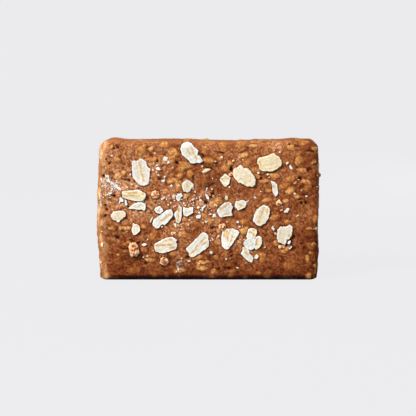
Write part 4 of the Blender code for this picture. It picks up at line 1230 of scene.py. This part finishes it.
def add_crumbs():
    """The lumps of baked crumb."""
    crumbs = Heap()
    unit, faces = ball(4)
    for number, (row, level) in enumerate(zip(CRUMBS, dough_level(CRUMBS))):
        add_crumb(crumbs, row, level, number, unit, faces)
    material = add_material("baked_crumb", 0.4, 0.15, 0.15, 0.1, (1.2, 0.6, 0.3))
    crumbs.finish("baked_crumbs", CRUMB_ROUGHNESS, material)


def dust_places(draw):
    """Where the grains of flour lie, as seen on the front: x, height and size."""
    for x, z, length, width, turn, grains in DUST:
        for _ in range(grains):
            a, b = draw.gauss(0, length / 4), draw.gauss(0, width / 4)
            u, v = turned(a, b, -math.radians(turn))
            low, high = GRAIN_SIZE
            yield x + u, z + v, low + (high - low) * draw.random() ** 2


def add_dust():
    """White flour, in patches and scattered."""
    dust = Heap()
    draw = random.Random(SEED + 3)
    unit, faces = ball(1)
    low, high = DUST_SPAN
    grains = placed(list(dust_places(draw)))
    grains = [row for row in grains if abs(row[0]) < LENGTH / 2 and low < row[1] < high]
    surface = dough_in_front(grains)
    for place, way_out, (_, _, size) in zip(surface.settled(), surface.out, grains):
        add_grain(dust, place, way_out, size, draw, unit, faces)
    material = add_material("flour", 0.3, 0.02, 0.05, 0.1, (0.5, 0.4, 0.3))
    dust.finish("flour_dust", FLOUR_ROUGHNESS, material)


# The studio.

def add_screen(name, points, faces):
    """A pale glowing surface that is seen but gives the bar no light."""
    mesh = bpy.data.meshes.new(name)
    mesh.from_pydata(points, [], faces)
    mesh.polygons.foreach_set("use_smooth", np.ones(len(mesh.polygons), bool))
    screen = in_scene(name, mesh)
    material = bpy.data.materials.new(name)
    material.use_nodes = True
    shader = material.node_tree.nodes["Principled BSDF"]
    shader.inputs["Base Color"].default_value = (*SWEEP_COLOUR, 1)
    shader.inputs["Roughness"].default_value = 1
    shader.inputs["Specular IOR Level"].default_value = 0
    shader.inputs["Emission Color"].default_value = (*SWEEP_GLOW, 1)
    shader.inputs["Emission Strength"].default_value = 1
    mesh.materials.append(material)
    screen.visible_diffuse = False
    screen.visible_glossy = False
    return screen


def add_surround():
    """A far round wall, so that every angle sees the same pale background."""
    points = []
    for step in range(SURROUND_SIDES):
        angle = math.tau * step / SURROUND_SIDES
        x, y = SURROUND_REACH * math.cos(angle), SURROUND_REACH * math.sin(angle)
        points += [(x, y, z) for z in SURROUND_SPAN]
    count = len(points)
    faces = [[i, (i + 2) % count, (i + 3) % count, i + 1] for i in range(0, count, 2)]
    add_screen("surround", points, faces).visible_shadow = False


def add_sweep():
    """A pale floor that curves up into a backdrop."""
    profile = [(SWEEP_FRONT, 0)]
    for step in range(SWEEP_STEPS + 1):
        angle = math.pi / 2 * step / SWEEP_STEPS
        y = SWEEP_BACK - SWEEP_BEND + SWEEP_BEND * math.sin(angle)
        profile.append((y, SWEEP_BEND - SWEEP_BEND * math.cos(angle)))
    profile.append((SWEEP_BACK, SWEEP_TOP))
    points = [(side * SWEEP_WIDTH / 2, y, z) for y, z in profile for side in (-1, 1)]
    faces = [[2 * i, 2 * i + 1, 2 * i + 3, 2 * i + 2] for i in range(len(profile) - 1)]
    add_screen("sweep", points, faces)


def add_light(name, place, size, power):
    """A soft square light that points at the bar's middle."""
    light = bpy.data.lights.new(name, "AREA")
    light.size = size
    light.energy = power
    holder = in_scene(name, light)
    holder.location = place
    away = Vector((0, 0, MIDDLE * MM)) - holder.location
    holder.rotation_euler = away.to_track_quat("-Z", "Y").to_euler()


def add_camera():
    """Looks almost straight at the front, from a little above."""
    camera = bpy.data.cameras.new("camera")
    camera.lens = LENS
    camera.sensor_width = SENSOR
    holder = in_scene("camera", camera)
    away = VIEW_WIDTH * LENS / SENSOR
    tilt = math.radians(VIEW_TILT)
    target = Vector(VIEW_MIDDLE)
    holder.location = (target + away * Vector((0, -math.cos(tilt), math.sin(tilt)))) * MM
    holder.rotation_euler = (math.pi / 2 - tilt, 0, 0)
    bpy.context.scene.camera = holder


def light_up():
    """Soft light from the upper left, with a pale room round it."""
    world = bpy.data.worlds.new("room")
    world.use_nodes = True
    world.node_tree.nodes["Background"].inputs["Color"].default_value = (*ROOM_COLOUR, 1)
    world.node_tree.nodes["Background"].inputs["Strength"].default_value = ROOM_STRENGTH
    bpy.context.scene.world = world
    bpy.context.scene.view_settings.view_transform = "Standard"
    for light in LIGHTS:
        add_light(*light)


add_dough()
add_flakes()
add_crumbs()
add_dust()
add_sweep()
add_surround()
light_up()
add_camera()
